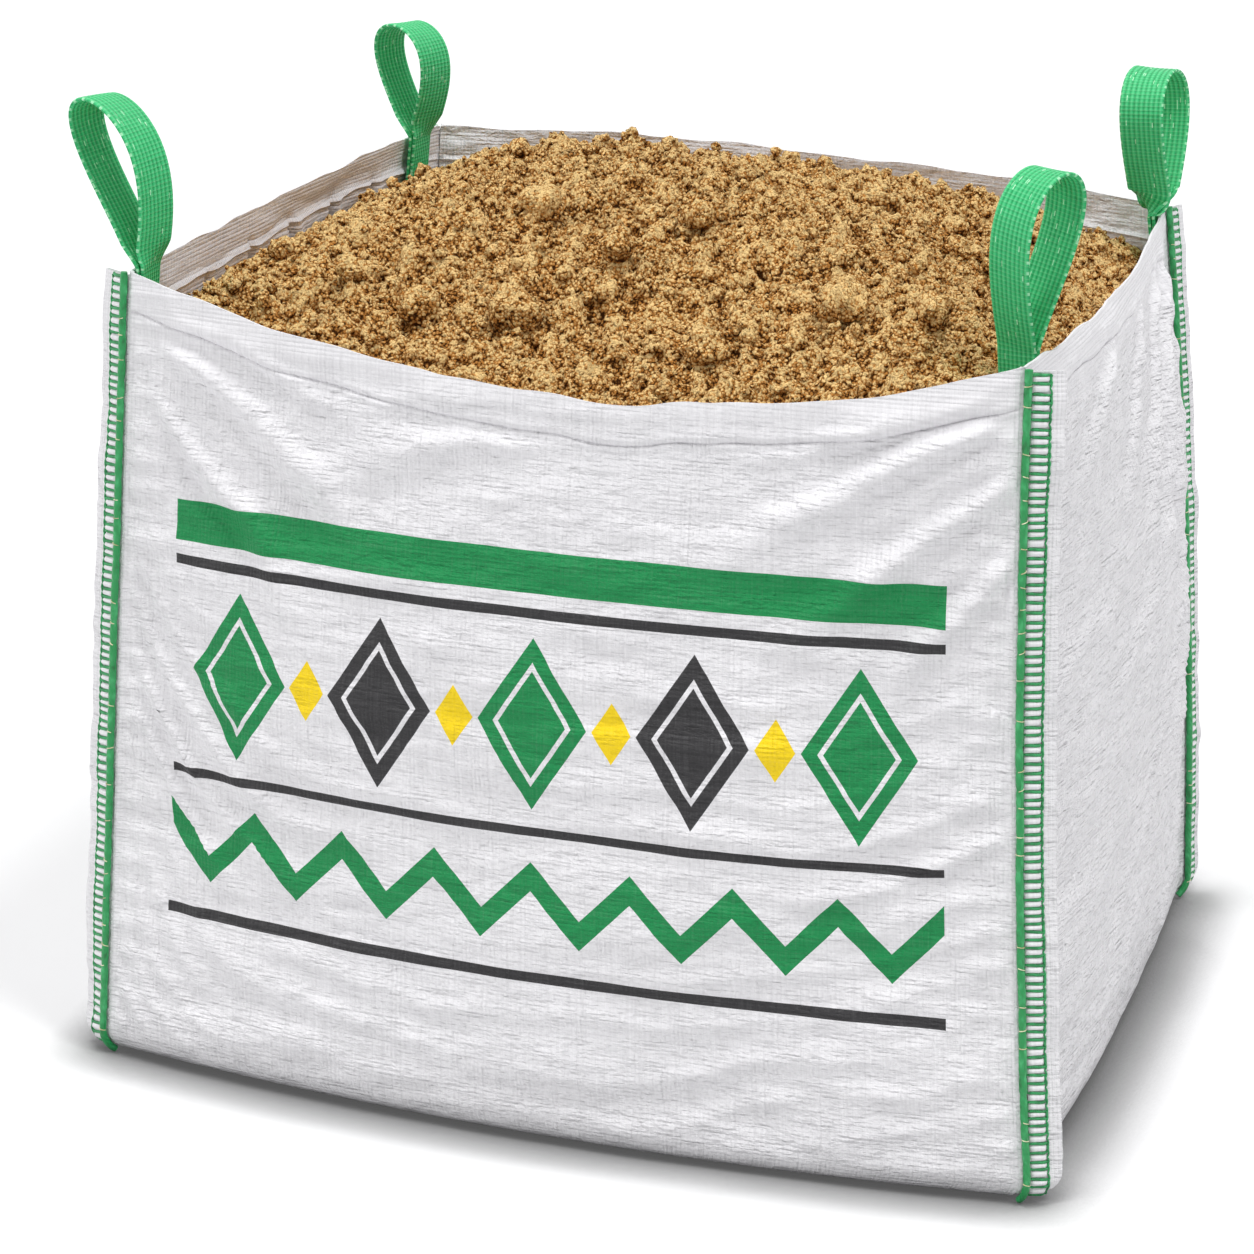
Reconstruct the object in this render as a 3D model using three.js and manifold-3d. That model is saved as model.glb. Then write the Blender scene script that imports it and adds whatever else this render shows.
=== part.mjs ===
// A bulk bag of building sand: woven cloth walls sewn together at four corner seams, a webbing
// lifting loop at each corner and the heaped load inside. Millimetres, +Z up, front towards -Y,
// with the origin on the floor under the middle of the base.
import * as THREE from "three";
import { mergeVertices } from "three/addons/utils/BufferGeometryUtils.js";
import Module from "manifold-3d";

const wasm = await Module();
wasm.setup();

// The bag
const RIM_HEIGHT = 800; // floor to the rim at the corners
const RIM_WIDTH = 860; // left to right between the corner seams, at the rim
const RIM_DEPTH = 853; // front to back between the corner seams, at the rim
const BASE_WIDTH = 946;
const BASE_DEPTH = 870;
const BASE_ROUND = 26; // radius of the roll from wall to base
const BASE_TUCK = 24; // cloth that lies flat on the floor inside the roll
const BASE_LAP = 8; // how far the base runs into the tuck of the front and back
const FABRIC = 1.6; // thickness of one layer of cloth
const HEM_HEIGHT = 42; // the doubled cloth at the rim
const SEWN_GAP = 0.6; // between two pieces that lie face to face

// The walls in order round the bag: how far each one's rim sags between its corners, which end the
// sag leans to, and how far the load bulges it at the rim, half-way up and at the base
const SIDES = {
  front: { from: "front_left", to: "front_right", sag: 62, sagLean: 0.15,
    rimBulge: 38, midBulge: 58, baseBulge: 42 },
  right: { from: "front_right", to: "back_right", sag: 12, sagLean: 0,
    rimBulge: 13, midBulge: 38, baseBulge: 10 },
  back: { from: "back_right", to: "back_left", sag: -8, sagLean: 0,
    rimBulge: 47, midBulge: 56, baseBulge: 42 },
  left: { from: "back_left", to: "front_left", sag: 0, sagLean: 0,
    rimBulge: 11, midBulge: 38, baseBulge: 19 },
};

// The corners: their sides of the bag, how far each is pulled out of square at the rim (x, y and z),
// half-way up and at the base (x and y), the seam's direction seen from above, the face that carries
// the stitching (1 front or back, -1 the side), and the loop's wall, its place along that wall, its
// rise over the rim, the spread of its legs, its turn, the heights over the rim between which it turns,
// how far from its middle it hinges on the wall, and its lean to the right
const CORNERS = {
  front_left: { x: -1, y: -1, rimPull: [-2, -2, 2], midPull: [0, 0], basePull: [14, 3], seamDeg: 150,
    stitchFace: 1, loop: { side: "left", inset: 20, rise: 162, spread: 76, turnDeg: -22,
      turnFrom: 0.5, turnTo: 25, hinge: 0, lean: -50 } },
  front_right: { x: 1, y: -1, rimPull: [2, -2, -8], midPull: [-8, 0], basePull: [10, -26], seamDeg: 30,
    stitchFace: 1, loop: { side: "right", inset: 95, rise: 168, spread: 76, turnDeg: 62,
      turnFrom: -71.25, turnTo: -23.75, hinge: 23, lean: 20 } },
  back_right: { x: 1, y: 1, rimPull: [-32, -8, -8], midPull: [10, 0], basePull: [-4, 2], seamDeg: 75,
    stitchFace: -1, loop: { side: "right", inset: 32, rise: 157, spread: 106, turnDeg: 78,
      turnFrom: 0.5, turnTo: 25, hinge: 0, lean: -8 } },
  back_left: { x: -1, y: 1, rimPull: [-7, 3, 13], midPull: [0, 0], basePull: [6, 0], seamDeg: 105,
    stitchFace: -1, loop: { side: "left", inset: 70, rise: 128, spread: 76, turnDeg: -22,
      turnFrom: 0.5, turnTo: 25, hinge: 0, lean: -18 } },
};

// Corner seams: two turned-out edges of cloth, a filler cord at the root and a ladder of thread
const SEAM_WIDTH = 43;
const SEAM_TOP = 4; // seam's top edge below the rim
const SEAM_ROUND = 24; // radius at the outer bottom corner of the seam
const CORD_DIAMETER = 7.5;
const CORD_PLACE = 5.5; // cord's centre from the seam's root
const CORD_SIDES = 8;
const LADDER_FROM = 10.5; // inner ends of the rungs, from the seam's root
const LADDER_TO = 27.5;
const LADDER_PITCH = 25;
const LADDER_THREAD = 3.2; // height of a rung and width of the chain that joins the rungs
const THREAD_THICK = 1.2;

// Lifting loops
const WEBBING_WIDTH = 48;
const WEBBING_THICK = 4; // two layers of webbing
const LOOP_POINT = 1.5; // how sharply the legs draw together at the rim
const LOOP_TAIL = 190; // length of leg sewn inside the bag
const TAIL_GAP = 0.8; // between a tail and the wall it is sewn to
const LEAN_CURVE = 1.5; // 1 is a straight lean

// The load
const SAND_BELOW_HEM = 8; // where the load meets the wall
const SAND_PEAK = 858; // top of the heap over the floor
const SAND_PEAK_X = -55; // the heap's top lies left of the middle and behind it
const SAND_PEAK_Y = 65;
const SAND_SLOPE = 1.9; // 1 is a cone and 2 a dome
const LUMP_HEIGHT = 10;
const LUMP_LENGTH = 110; // from one lump to the next
const POCKET_GAP = 0.6; // round each webbing tail

// How finely the curves are divided
const COLUMNS = [-1, -0.92, -0.75, -0.5, -0.25, 0, 0.25, 0.5, 0.75, 0.92, 1];
const WALL_STEPS = 5;
const ROLL_STEPS = 4;
const LEG_STEPS = 14;
const TAIL_STEPS = 4;
const TURN_STEPS = 16;
const WEBBING_COLUMNS = [-1, -0.67, -0.33, 0, 0.33, 0.67, 1];
const HEAP_RINGS = [0.94, 0.86, 0.77, 0.68, 0.58, 0.48, 0.38, 0.28, 0.18, 0.08];
const MERGE_DISTANCE = 1e-4; // points closer than this are one

const CLOTH_WHITE = { color: 0xe2dfe3, roughness: 0.55, metalness: 0 };
const THREAD_GREEN = { color: 0x2a8a4c, roughness: 0.6, metalness: 0 };
const SAND_OCHRE = { color: 0xc39a5e, roughness: 0.95, metalness: 0 };

const rollRadius = BASE_ROUND - FABRIC / 2; // of the middle of the cloth
const layerShift = (FABRIC + SEWN_GAP) / 2; // middle of a seam layer from the middle of the seam
const seamFace = FABRIC + SEWN_GAP / 2; // outer face of a seam layer from the middle of the seam
const { lerp, degToRad } = THREE.MathUtils;

const cornerRim = (name) => RIM_HEIGHT + CORNERS[name].rimPull[2];

function rimAt(side, u) {
  const { from, to, sag, sagLean } = SIDES[side];
  return lerp(cornerRim(from), cornerRim(to), (u + 1) / 2) - sag * (1 - u * u) * (1 + sagLean * u);
}

// A value that runs through three others at the base, half-way up and at the rim
const throughThree = (base, mid, rim, s) =>
  base * (2 * s - 1) * (s - 1) + mid * 4 * s * (1 - s) + rim * s * (2 * s - 1);

// A corner of the bag at height z, moved in from the two walls that meet there
function cornerAt(name, z, insetX, insetY) {
  const { x, y, rimPull, midPull, basePull } = CORNERS[name];
  const rise = z / RIM_HEIGHT;
  const pulled = (axis) =>
    lerp(basePull[axis], rimPull[axis], rise) + midPull[axis] * 4 * rise * (1 - rise);
  return new THREE.Vector3(
    x * (lerp(BASE_WIDTH, RIM_WIDTH, rise) / 2 - insetX) + pulled(0),
    y * (lerp(BASE_DEPTH, RIM_DEPTH, rise) / 2 - insetY) + pulled(1),
    z,
  );
}

// A point in the middle of a wall's cloth: u runs from -1 at its first corner to 1 at its second
function wallPoint(side, u, z, insetX, insetY) {
  const { from, to, rimBulge, midBulge, baseBulge } = SIDES[side];
  const start = cornerAt(from, z, insetX, insetY);
  const end = cornerAt(to, z, insetX, insetY);
  const along = end.clone().sub(start).normalize();
  const bulge = throughThree(baseBulge, midBulge, rimBulge, z / RIM_HEIGHT);
  const outward = new THREE.Vector3(along.y, -along.x, 0);
  return start.lerp(end, (u + 1) / 2).addScaledVector(outward, bulge * (1 - u * u));
}

// Rows of a wall from the rim to the tuck, each a function of the wall, u and the clearance inwards
const wallRow = (heightOf) => (side, u, clear) =>
  wallPoint(side, u, heightOf(rimAt(side, u)), clear, clear);
const loadLine = HEM_HEIGHT + FABRIC + SAND_BELOW_HEM;
const hemRows = [0, HEM_HEIGHT, HEM_HEIGHT + FABRIC].map((drop) => wallRow((rim) => rim - drop));
const loadHeights = [];
for (let i = 0; i <= WALL_STEPS; i++)
  loadHeights.push((rim) => lerp(rim - loadLine, BASE_ROUND, i / WALL_STEPS));
const rollAngles = [];
for (let i = 1; i <= ROLL_STEPS; i++) rollAngles.push(((Math.PI / 2) * i) / ROLL_STEPS);
const rollHeight = (angle, clear) => BASE_ROUND - (rollRadius - clear) * Math.sin(angle);
const rollInset = (angle, clear) => clear + (rollRadius - clear) * (1 - Math.cos(angle));
const rollRow = (angle) => (side, u, clear) =>
  wallPoint(side, u, rollHeight(angle, clear), rollInset(angle, clear), rollInset(angle, clear));
const loadRows = [...loadHeights.map(wallRow), ...rollAngles.map(rollRow)];
const tuckInset = rollRadius + BASE_TUCK;
const tuckRow = (side, u) => wallPoint(side, u, FABRIC / 2, tuckInset, tuckInset);

// The direction of a corner's seam and the normal of its front or back face
function seamAxes(name) {
  const { y, seamDeg } = CORNERS[name];
  const along = new THREE.Vector3(Math.cos(degToRad(seamDeg)), Math.sin(degToRad(seamDeg)), 0);
  const normal = new THREE.Vector3(-along.y, along.x, 0).multiplyScalar(y * Math.sign(along.x));
  return { along, normal };
}

// A seam runs from half-way round the roll to just under the rim, on the rows of its walls
function seamLevels(name) {
  const roll = rollAngles.slice(0, ROLL_STEPS / 2).reverse();
  const rolled = roll.map((angle) => ({ z: rollHeight(angle, 0), inset: rollInset(angle, 0) }));
  const upright = loadHeights.map((heightOf) => ({ z: heightOf(cornerRim(name)), inset: 0 })).reverse();
  return [...rolled, ...upright, { z: cornerRim(name) - SEAM_TOP, inset: 0 }];
}

function seamRoot(name, i) {
  const { z, inset } = seamLevels(name)[i];
  return cornerAt(name, z, inset, inset);
}

// The step off a seam's middle at one of its levels that keeps its distance from the runs above and below
function seamStep(name, i) {
  const { along, normal } = seamAxes(name);
  const [below, above] = [Math.max(i - 1, 0), Math.min(i, seamLevels(name).length - 2)].map((run) => {
    const facing = seamRoot(name, run + 1).sub(seamRoot(name, run)).cross(along).normalize();
    return facing.multiplyScalar(Math.sign(facing.dot(normal)));
  });
  const scale = 1 / (1 + below.dot(above));
  return below.add(above).multiplyScalar(scale);
}

// A point beside a seam: across its width and off its middle, on the straight runs between its levels
function seamPoint(name, z, across, off) {
  const levels = seamLevels(name);
  const i = Math.max(1, levels.findIndex((level) => level.z >= z - MERGE_DISTANCE));
  const share = (z - levels[i - 1].z) / (levels[i].z - levels[i - 1].z);
  const root = seamRoot(name, i - 1).lerp(seamRoot(name, i), share);
  const step = seamStep(name, i - 1).lerp(seamStep(name, i), share);
  return root.addScaledVector(seamAxes(name).along, across).addScaledVector(step, off);
}

// A closed geometry as a solid that faces out, whichever way round its triangles were laid
function solidOf(geometry) {
  const bare = new THREE.BufferGeometry().setIndex(geometry.index);
  bare.setAttribute("position", geometry.getAttribute("position"));
  const merged = mergeVertices(bare, MERGE_DISTANCE);
  const vertProperties = merged.attributes.position.array;
  const triVerts = new Uint32Array(merged.index.array);
  const corner = (i) => new THREE.Vector3().fromArray(vertProperties, 3 * triVerts[i]);
  let volume = 0;
  for (let i = 0; i < triVerts.length; i += 3)
    volume += corner(i).dot(corner(i + 1).cross(corner(i + 2)));
  if (volume < 0) triVerts.reverse();
  return new wasm.Manifold(new wasm.Mesh({ numProp: 3, vertProperties, triVerts }));
}

function geometryOf(solid) {
  const { vertProperties, triVerts } = solid.getMesh();
  const geometry = new THREE.BufferGeometry().setIndex(new THREE.BufferAttribute(triVerts, 1));
  geometry.setAttribute("position", new THREE.BufferAttribute(vertProperties, 3));
  geometry.computeVertexNormals();
  return geometry;
}

// A sheet of cloth or webbing about a grid of points, with its thickness on each face of each point
function sheet(grid, overOf, underOf) {
  const [lastRow, lastColumn] = [grid.length - 1, grid[0].length - 1];
  const offset = (distanceOf) => grid.map((row, r) => row.map((point, c) => {
    const down = grid[Math.min(r + 1, lastRow)][c].clone().sub(grid[Math.max(r - 1, 0)][c]);
    const along = row[Math.min(c + 1, lastColumn)].clone().sub(row[Math.max(c - 1, 0)]);
    return point.clone().addScaledVector(down.cross(along).normalize(), distanceOf(r, c));
  }));
  return slab(offset(overOf), offset((r, c) => -underOf(r, c)));
}

// The solid between two grids of points
function slab(top, bottom) {
  const rows = top.length;
  const columns = top[0].length;
  const triangles = [];
  const quad = (a, b, c, d) => triangles.push([a, b, c], [a, c, d]);
  const under = rows * columns;
  for (let r = 0; r < rows - 1; r++) {
    for (let c = 0; c < columns - 1; c++) {
      const a = r * columns + c;
      quad(a, a + columns, a + columns + 1, a + 1);
      quad(under + a, under + a + 1, under + a + columns + 1, under + a + columns);
    }
    const [left, right] = [r * columns, (r + 1) * columns - 1];
    quad(left, under + left, under + left + columns, left + columns);
    quad(right, right + columns, under + right + columns, under + right);
  }
  for (let c = 0; c < columns - 1; c++) {
    const last = (rows - 1) * columns + c;
    quad(c, c + 1, under + c + 1, under + c);
    quad(last, under + last, under + last + 1, last + 1);
  }
  return new THREE.BufferGeometry().setFromPoints([...top, ...bottom].flat()).setIndex(triangles.flat());
}

// A point of a wall's cloth: at the corners it makes room for the wall that it is sewn to.
// face is 1 for the front and back and -1 for the sides.
function clothPoint(side, face, row, u) {
  const point = row(side, u, 0);
  if (Math.abs(u) < 1) return point;
  const { from, to } = SIDES[side];
  return point.addScaledVector(seamAxes(u < 0 ? from : to).normal, face * layerShift);
}

// A wall from rim to tuck, with its two turned-out seam edges
function wallSolid(side, face) {
  const rows = [...hemRows, ...loadRows, tuckRow];
  const grid = rows.map((row) => COLUMNS.map((u) => clothPoint(side, face, row, u)));
  const doubled = (row, column) => row < hemRows.length - 1 && Math.abs(COLUMNS[column]) < 1;
  const over = (row, column) => (doubled(row, column) ? 1.5 : 0.5) * FABRIC;
  const wall = solidOf(sheet(grid, over, () => FABRIC / 2));
  const seams = [SIDES[side].from, SIDES[side].to].map((name) => seamEdgeSolid(name, face));
  return seams.reduce((whole, seam) => whole.add(seam), wall);
}

// One layer of a seam, lapped into the end of its wall
function seamEdgeSolid(name, face) {
  const levels = seamLevels(name);
  const layer = (off) => levels.map(({ z }) => {
    const rounding = Math.max(0, 1 - (z - levels[0].z) / SEAM_ROUND);
    const width = SEAM_WIDTH - SEAM_ROUND * (1 - Math.sqrt(1 - rounding * rounding));
    return [-FABRIC / 2, width / 2, width].map((across) => seamPoint(name, z, across, face * off));
  });
  return solidOf(slab(layer(seamFace), layer(SEWN_GAP / 2)));
}

// The base plate, which laps the tucks of the front and back and meets those of the sides edge to edge
function baseSolid() {
  const lapRow = (side, u) => wallPoint(side, u, FABRIC / 2, tuckInset + BASE_LAP, tuckInset - BASE_LAP);
  const outline = [];
  for (const side of Object.keys(SIDES))
    for (const u of COLUMNS) {
      const lapped = side === "front" || side === "back";
      const point = lapped ? lapRow(side, u) : clothPoint(side, -1, tuckRow, u);
      const gap = lapped ? 0 : SEWN_GAP * (side === "left" ? 1 : -1);
      outline.push(new THREE.Vector2(point.x + gap, point.y));
    }
  const plate = { depth: FABRIC, bevelEnabled: false };
  return solidOf(new THREE.ExtrudeGeometry(new THREE.Shape(outline), plate));
}

// A shape drawn across and off a seam, swept up it
function seamSweep(name, shape, levels) {
  const geometry = new THREE.ExtrudeGeometry(shape, { depth: levels.length - 1, steps: levels.length - 1,
    bevelEnabled: false });
  return solidOf(mapPoints(geometry, ({ x, y, z }) => seamPoint(name, levels[Math.round(z)], x, y)));
}

function mapPoints(geometry, place) {
  const { position } = geometry.attributes;
  const point = new THREE.Vector3();
  for (let i = 0; i < position.count; i++) {
    const { x, y, z } = place(point.fromBufferAttribute(position, i));
    position.setXYZ(i, x, y, z);
  }
  return geometry;
}

function cordSolid(name) {
  const face = CORNERS[name].stitchFace;
  const circle = [];
  for (let i = 0; i < CORD_SIDES; i++) {
    const angle = (2 * Math.PI * (i + 0.5)) / CORD_SIDES;
    const off = seamFace + SEWN_GAP + (CORD_DIAMETER / 2) * (1 + Math.sin(angle));
    circle.push(new THREE.Vector2(CORD_PLACE + (CORD_DIAMETER / 2) * Math.cos(angle), face * off));
  }
  return seamSweep(name, new THREE.Shape(circle), seamLevels(name).map(({ z }) => z));
}

// The thread over a seam as one body: a chain along the outer edge with a rung at each pitch
function ladderSolid(name) {
  const face = CORNERS[name].stitchFace;
  const lines = [LADDER_FROM, LADDER_TO - LADDER_THREAD, LADDER_TO];
  const heights = seamLevels(name).map(({ z }) => z);
  const foot = heights[0];
  const rungs = Math.floor((heights.at(-1) - LADDER_THREAD - foot) / LADDER_PITCH);
  const head = foot + rungs * LADDER_PITCH + LADDER_THREAD;
  const edges = heights.filter((z) => z < head);
  for (let i = 0; i <= rungs; i++) {
    const rung = foot + i * LADDER_PITCH;
    edges.push(rung, rung + LADDER_THREAD);
  }
  const levels = [...new Set(edges)].sort((a, b) => a - b);
  const points = [];
  for (const thick of [0, THREAD_THICK]) {
    const off = face * (seamFace + SEWN_GAP + thick);
    for (const z of levels)
      for (const across of lines) points.push(seamPoint(name, z, across, off));
  }
  const back = points.length / 2;
  const onRung = (row) => ((levels[row] + levels[row + 1]) / 2 - foot) % LADDER_PITCH < LADDER_THREAD;
  const threadAt = (row, column) =>
    row >= 0 && row < levels.length - 1 && (column === 1 || (column === 0 && onRung(row)));
  const triangles = [];
  const quad = (a, b, c, d) => triangles.push([a, b, c], [a, c, d]);
  const side = (a, b) => quad(a, b, b + back, a + back);
  for (let row = 0; row < levels.length - 1; row++)
    for (const column of [0, 1]) {
      if (!threadAt(row, column)) continue;
      const [a, b] = [row * lines.length + column, row * lines.length + column + 1];
      const [c, d] = [b + lines.length, a + lines.length];
      quad(a, d, c, b);
      quad(a + back, b + back, c + back, d + back);
      if (!threadAt(row - 1, column)) side(a, b);
      if (!threadAt(row, column + 1)) side(b, c);
      if (!threadAt(row + 1, column)) side(c, d);
      if (!threadAt(row, column - 1)) side(d, a);
    }
  return solidOf(new THREE.BufferGeometry().setFromPoints(points).setIndex(triangles.flat()));
}

// Where a loop is sewn along its wall, and the height of the rim there
const loopPlace = ({ x, y, loop }) => x * y * (1 - (2 * loop.inset) / RIM_DEPTH);
const loopRim = (name) => rimAt(CORNERS[name].loop.side, loopPlace(CORNERS[name]));

// The line between a loop's two legs: its place at height z and the direction of the webbing's width
function loopFrame(name, z) {
  const { side, rise, turnDeg, turnFrom, turnTo, hinge, lean } = CORNERS[name].loop;
  const u = loopPlace(CORNERS[name]);
  const rim = loopRim(name);
  const clear = FABRIC / 2 + TAIL_GAP + WEBBING_THICK + SEWN_GAP / 2;
  const place = wallPoint(side, u, Math.min(z, rim), clear, clear).setZ(z);
  const ahead = wallPoint(side, u + WEBBING_WIDTH / RIM_DEPTH, Math.min(z, rim), clear, clear).setZ(z);
  const width = ahead.sub(place).normalize();
  const turn = degToRad(turnDeg) * THREE.MathUtils.smoothstep(z - rim, turnFrom, turnTo);
  place.addScaledVector(new THREE.Vector3(-width.y, width.x, 0), hinge * Math.abs(Math.sin(turn)));
  width.applyAxisAngle(new THREE.Vector3(0, 0, 1), turn);
  place.x += lean * (Math.max(0, z - rim) / rise) ** LEAN_CURVE;
  return { place, width, inward: new THREE.Vector3(-width.y, width.x, 0) };
}

// A row across the webbing at height z, moved inwards from the line between the legs
function webbingRow(name, z, inwards, width) {
  const frame = loopFrame(name, z);
  const middle = frame.place.addScaledVector(frame.inward, inwards);
  return WEBBING_COLUMNS.map((w) => middle.clone().addScaledVector(frame.width, (w * width) / 2));
}

// The depths of a tail's rows under the rim, closer together where it turns
function tailDrops(name) {
  const { turnFrom, turnTo } = CORNERS[name].loop;
  const drops = [];
  for (let i = 1; i <= TAIL_STEPS; i++) drops.push((LOOP_TAIL * i) / TAIL_STEPS);
  for (let i = 0; i <= TURN_STEPS && turnTo < 0; i++) drops.push(-lerp(turnTo, turnFrom, i / TURN_STEPS));
  return [...new Set(drops)].sort((a, b) => a - b);
}

const legShift = (WEBBING_THICK + SEWN_GAP) / 2; // a tail from the line between the legs

function loopSolid(name) {
  const rim = loopRim(name);
  const teardrop = (angle) => Math.sin(angle) * Math.sin(angle / 2) ** LOOP_POINT;
  let widest = 0;
  for (let i = 0; i <= 180; i++) widest = Math.max(widest, teardrop(degToRad(i)));
  const { rise, spread } = CORNERS[name].loop;
  const halfSpread = (spread - WEBBING_THICK) / 2 - legShift;
  const top = rise - WEBBING_THICK / 2;
  const rows = [];
  for (const drop of tailDrops(name).reverse()) rows.push([rim - drop, -legShift]);
  for (let i = 0; i <= 2 * LEG_STEPS; i++) {
    const angle = (Math.PI * i) / LEG_STEPS;
    const leg = -Math.cos(angle / 2) * legShift;
    const out = i <= LEG_STEPS ? -1 : 1;
    const round = teardrop(Math.PI - Math.abs(Math.PI - angle)) / widest;
    rows.push([rim + (top * (1 - Math.cos(angle))) / 2, leg + out * halfSpread * round]);
  }
  for (const drop of tailDrops(name)) rows.push([rim - drop, legShift]);
  const grid = rows.map(([z, inwards]) => webbingRow(name, z, inwards, WEBBING_WIDTH));
  return solidOf(sheet(grid, () => WEBBING_THICK / 2, () => WEBBING_THICK / 2));
}

// The room that a loop's two tails take up in the load, open towards the wall and at the top
function pocketSolid(name) {
  const half = WEBBING_THICK + SEWN_GAP / 2 + POCKET_GAP;
  const drops = [0, ...tailDrops(name)];
  drops[drops.length - 1] += POCKET_GAP;
  const width = WEBBING_WIDTH + 2 * POCKET_GAP;
  const grid = drops.map((drop) => webbingRow(name, loopRim(name) - drop, 0, width));
  return solidOf(sheet(grid, () => half + TAIL_GAP, () => half));
}

// Uneven lumps over the heap, from crossed waves
function lumps(x, y) {
  const k = (2 * Math.PI) / LUMP_LENGTH;
  const wave = (angle, stretch) => {
    const along = x * Math.cos(angle) + y * Math.sin(angle);
    return Math.sin(k * stretch * along + 5 * angle);
  };
  const large = wave(0.4, 1) * wave(1.9, 1.13);
  const small = wave(1.1, 1.7) * wave(2.7, 1.9);
  return (LUMP_HEIGHT / 2) * (large + 0.6 * small + 0.5 * wave(2.3, 0.5));
}

function sandSolid() {
  const clear = FABRIC / 2 + SEWN_GAP;
  const rings = loadRows.map((row) =>
    Object.keys(SIDES).flatMap((side) => COLUMNS.slice(1, -1).map((u) => row(side, u, clear)))).reverse();
  const edge = rings.at(-1);
  const around = edge.length;
  const fineEdge = edge.flatMap((point, i) => [point, point.clone().lerp(edge[(i + 1) % around], 0.5)]);
  const peak = new THREE.Vector3(SAND_PEAK_X, SAND_PEAK_Y, SAND_PEAK);
  const heap = HEAP_RINGS.map((share) => fineEdge.map((point) => {
    const spot = peak.clone().lerp(point, share);
    spot.z = lerp(SAND_PEAK, point.z, share ** SAND_SLOPE) + lumps(spot.x, spot.y) * (1 - share ** 6);
    return spot;
  }));
  const points = [...rings.flat(), ...heap.flat()];
  const [foot, top] = [points.length, points.length + 1];
  points.push(new THREE.Vector3(0, 0, rings[0][0].z), peak);
  const triangles = [];
  const band = (start, count) => {
    for (let i = 0; i < count; i++) {
      const [a, b] = [start + i, start + ((i + 1) % count)];
      triangles.push([a, b, a + count], [b, b + count, a + count]);
    }
  };
  for (let r = 0; r < rings.length - 1; r++) band(r * around, around);
  const heapStart = rings.length * around;
  for (let r = 0; r < heap.length - 1; r++) band(heapStart + r * 2 * around, 2 * around);
  const heapEnd = heapStart + (heap.length - 1) * 2 * around;
  for (let i = 0; i < around; i++) {
    const next = (i + 1) % around;
    const [a, b] = [heapStart - around + i, heapStart - around + next];
    const fine = [2 * i, 2 * i + 1, 2 * next].map((n) => heapStart + n);
    triangles.push([a, fine[1], fine[0]], [a, b, fine[1]], [b, fine[2], fine[1]], [i, foot, next]);
    const crown = [2 * i, 2 * i + 1, 2 * next].map((n) => heapEnd + n);
    triangles.push([crown[0], crown[1], top], [crown[1], crown[2], top]);
  }
  return solidOf(new THREE.BufferGeometry().setFromPoints(points).setIndex(triangles.flat()));
}

const bag = new THREE.Group();

function addPiece(name, solid, look) {
  const mesh = new THREE.Mesh(geometryOf(solid), new THREE.MeshStandardMaterial(look));
  mesh.name = name;
  bag.add(mesh);
}

// One length of cloth makes the front, the base and the back, and the two sides are sewn to it
addPiece("body_panel", wallSolid("front", 1).add(wallSolid("back", 1)).add(baseSolid()), CLOTH_WHITE);
for (const side of ["left", "right"]) addPiece(`side_panel_${side}`, wallSolid(side, -1), CLOTH_WHITE);

let load = sandSolid();
for (const name of Object.keys(CORNERS)) {
  addPiece(`seam_cord_${name}`, cordSolid(name), THREAD_GREEN);
  addPiece(`seam_stitch_${name}`, ladderSolid(name), THREAD_GREEN);
  addPiece(`lifting_loop_${name}`, loopSolid(name), THREAD_GREEN);
  load = load.subtract(pocketSolid(name));
}
addPiece("sand_load", load, SAND_OCHRE);

export default bag;
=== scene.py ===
import math
import bpy
import numpy as np
from mathutils import Matrix, Vector


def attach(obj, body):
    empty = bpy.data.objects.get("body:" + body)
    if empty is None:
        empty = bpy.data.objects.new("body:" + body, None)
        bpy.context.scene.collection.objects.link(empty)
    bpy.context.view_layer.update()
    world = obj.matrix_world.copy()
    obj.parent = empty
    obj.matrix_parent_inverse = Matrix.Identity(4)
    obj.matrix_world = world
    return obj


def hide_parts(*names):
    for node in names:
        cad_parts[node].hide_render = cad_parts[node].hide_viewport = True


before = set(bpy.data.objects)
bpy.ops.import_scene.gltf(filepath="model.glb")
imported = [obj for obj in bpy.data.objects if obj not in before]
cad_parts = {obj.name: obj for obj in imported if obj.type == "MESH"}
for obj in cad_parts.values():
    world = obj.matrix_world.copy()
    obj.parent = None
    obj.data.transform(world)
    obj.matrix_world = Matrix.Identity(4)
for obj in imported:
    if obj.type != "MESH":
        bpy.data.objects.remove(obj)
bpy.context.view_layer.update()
print("frame loaded")

# the standing bag, as the part has it, in metres
bag = dict(rim=0.8, rimSize=(0.86, 0.853), baseSize=(0.946, 0.87), roll=0.026, tuck=0.024,
           cloth=0.0016, hem=0.042, sewnGap=0.0006)
walls = dict(
    front=dict(ends=("frontLeft", "frontRight"), sag=0.062, lean=0.15, bulge=(0.042, 0.058, 0.038)),
    right=dict(ends=("frontRight", "backRight"), sag=0.012, lean=0.0, bulge=(0.010, 0.038, 0.013)),
    back=dict(ends=("backRight", "backLeft"), sag=-0.008, lean=0.0, bulge=(0.042, 0.056, 0.047)),
    left=dict(ends=("backLeft", "frontLeft"), sag=0.0, lean=0.0, bulge=(0.019, 0.038, 0.011)),
)
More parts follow.
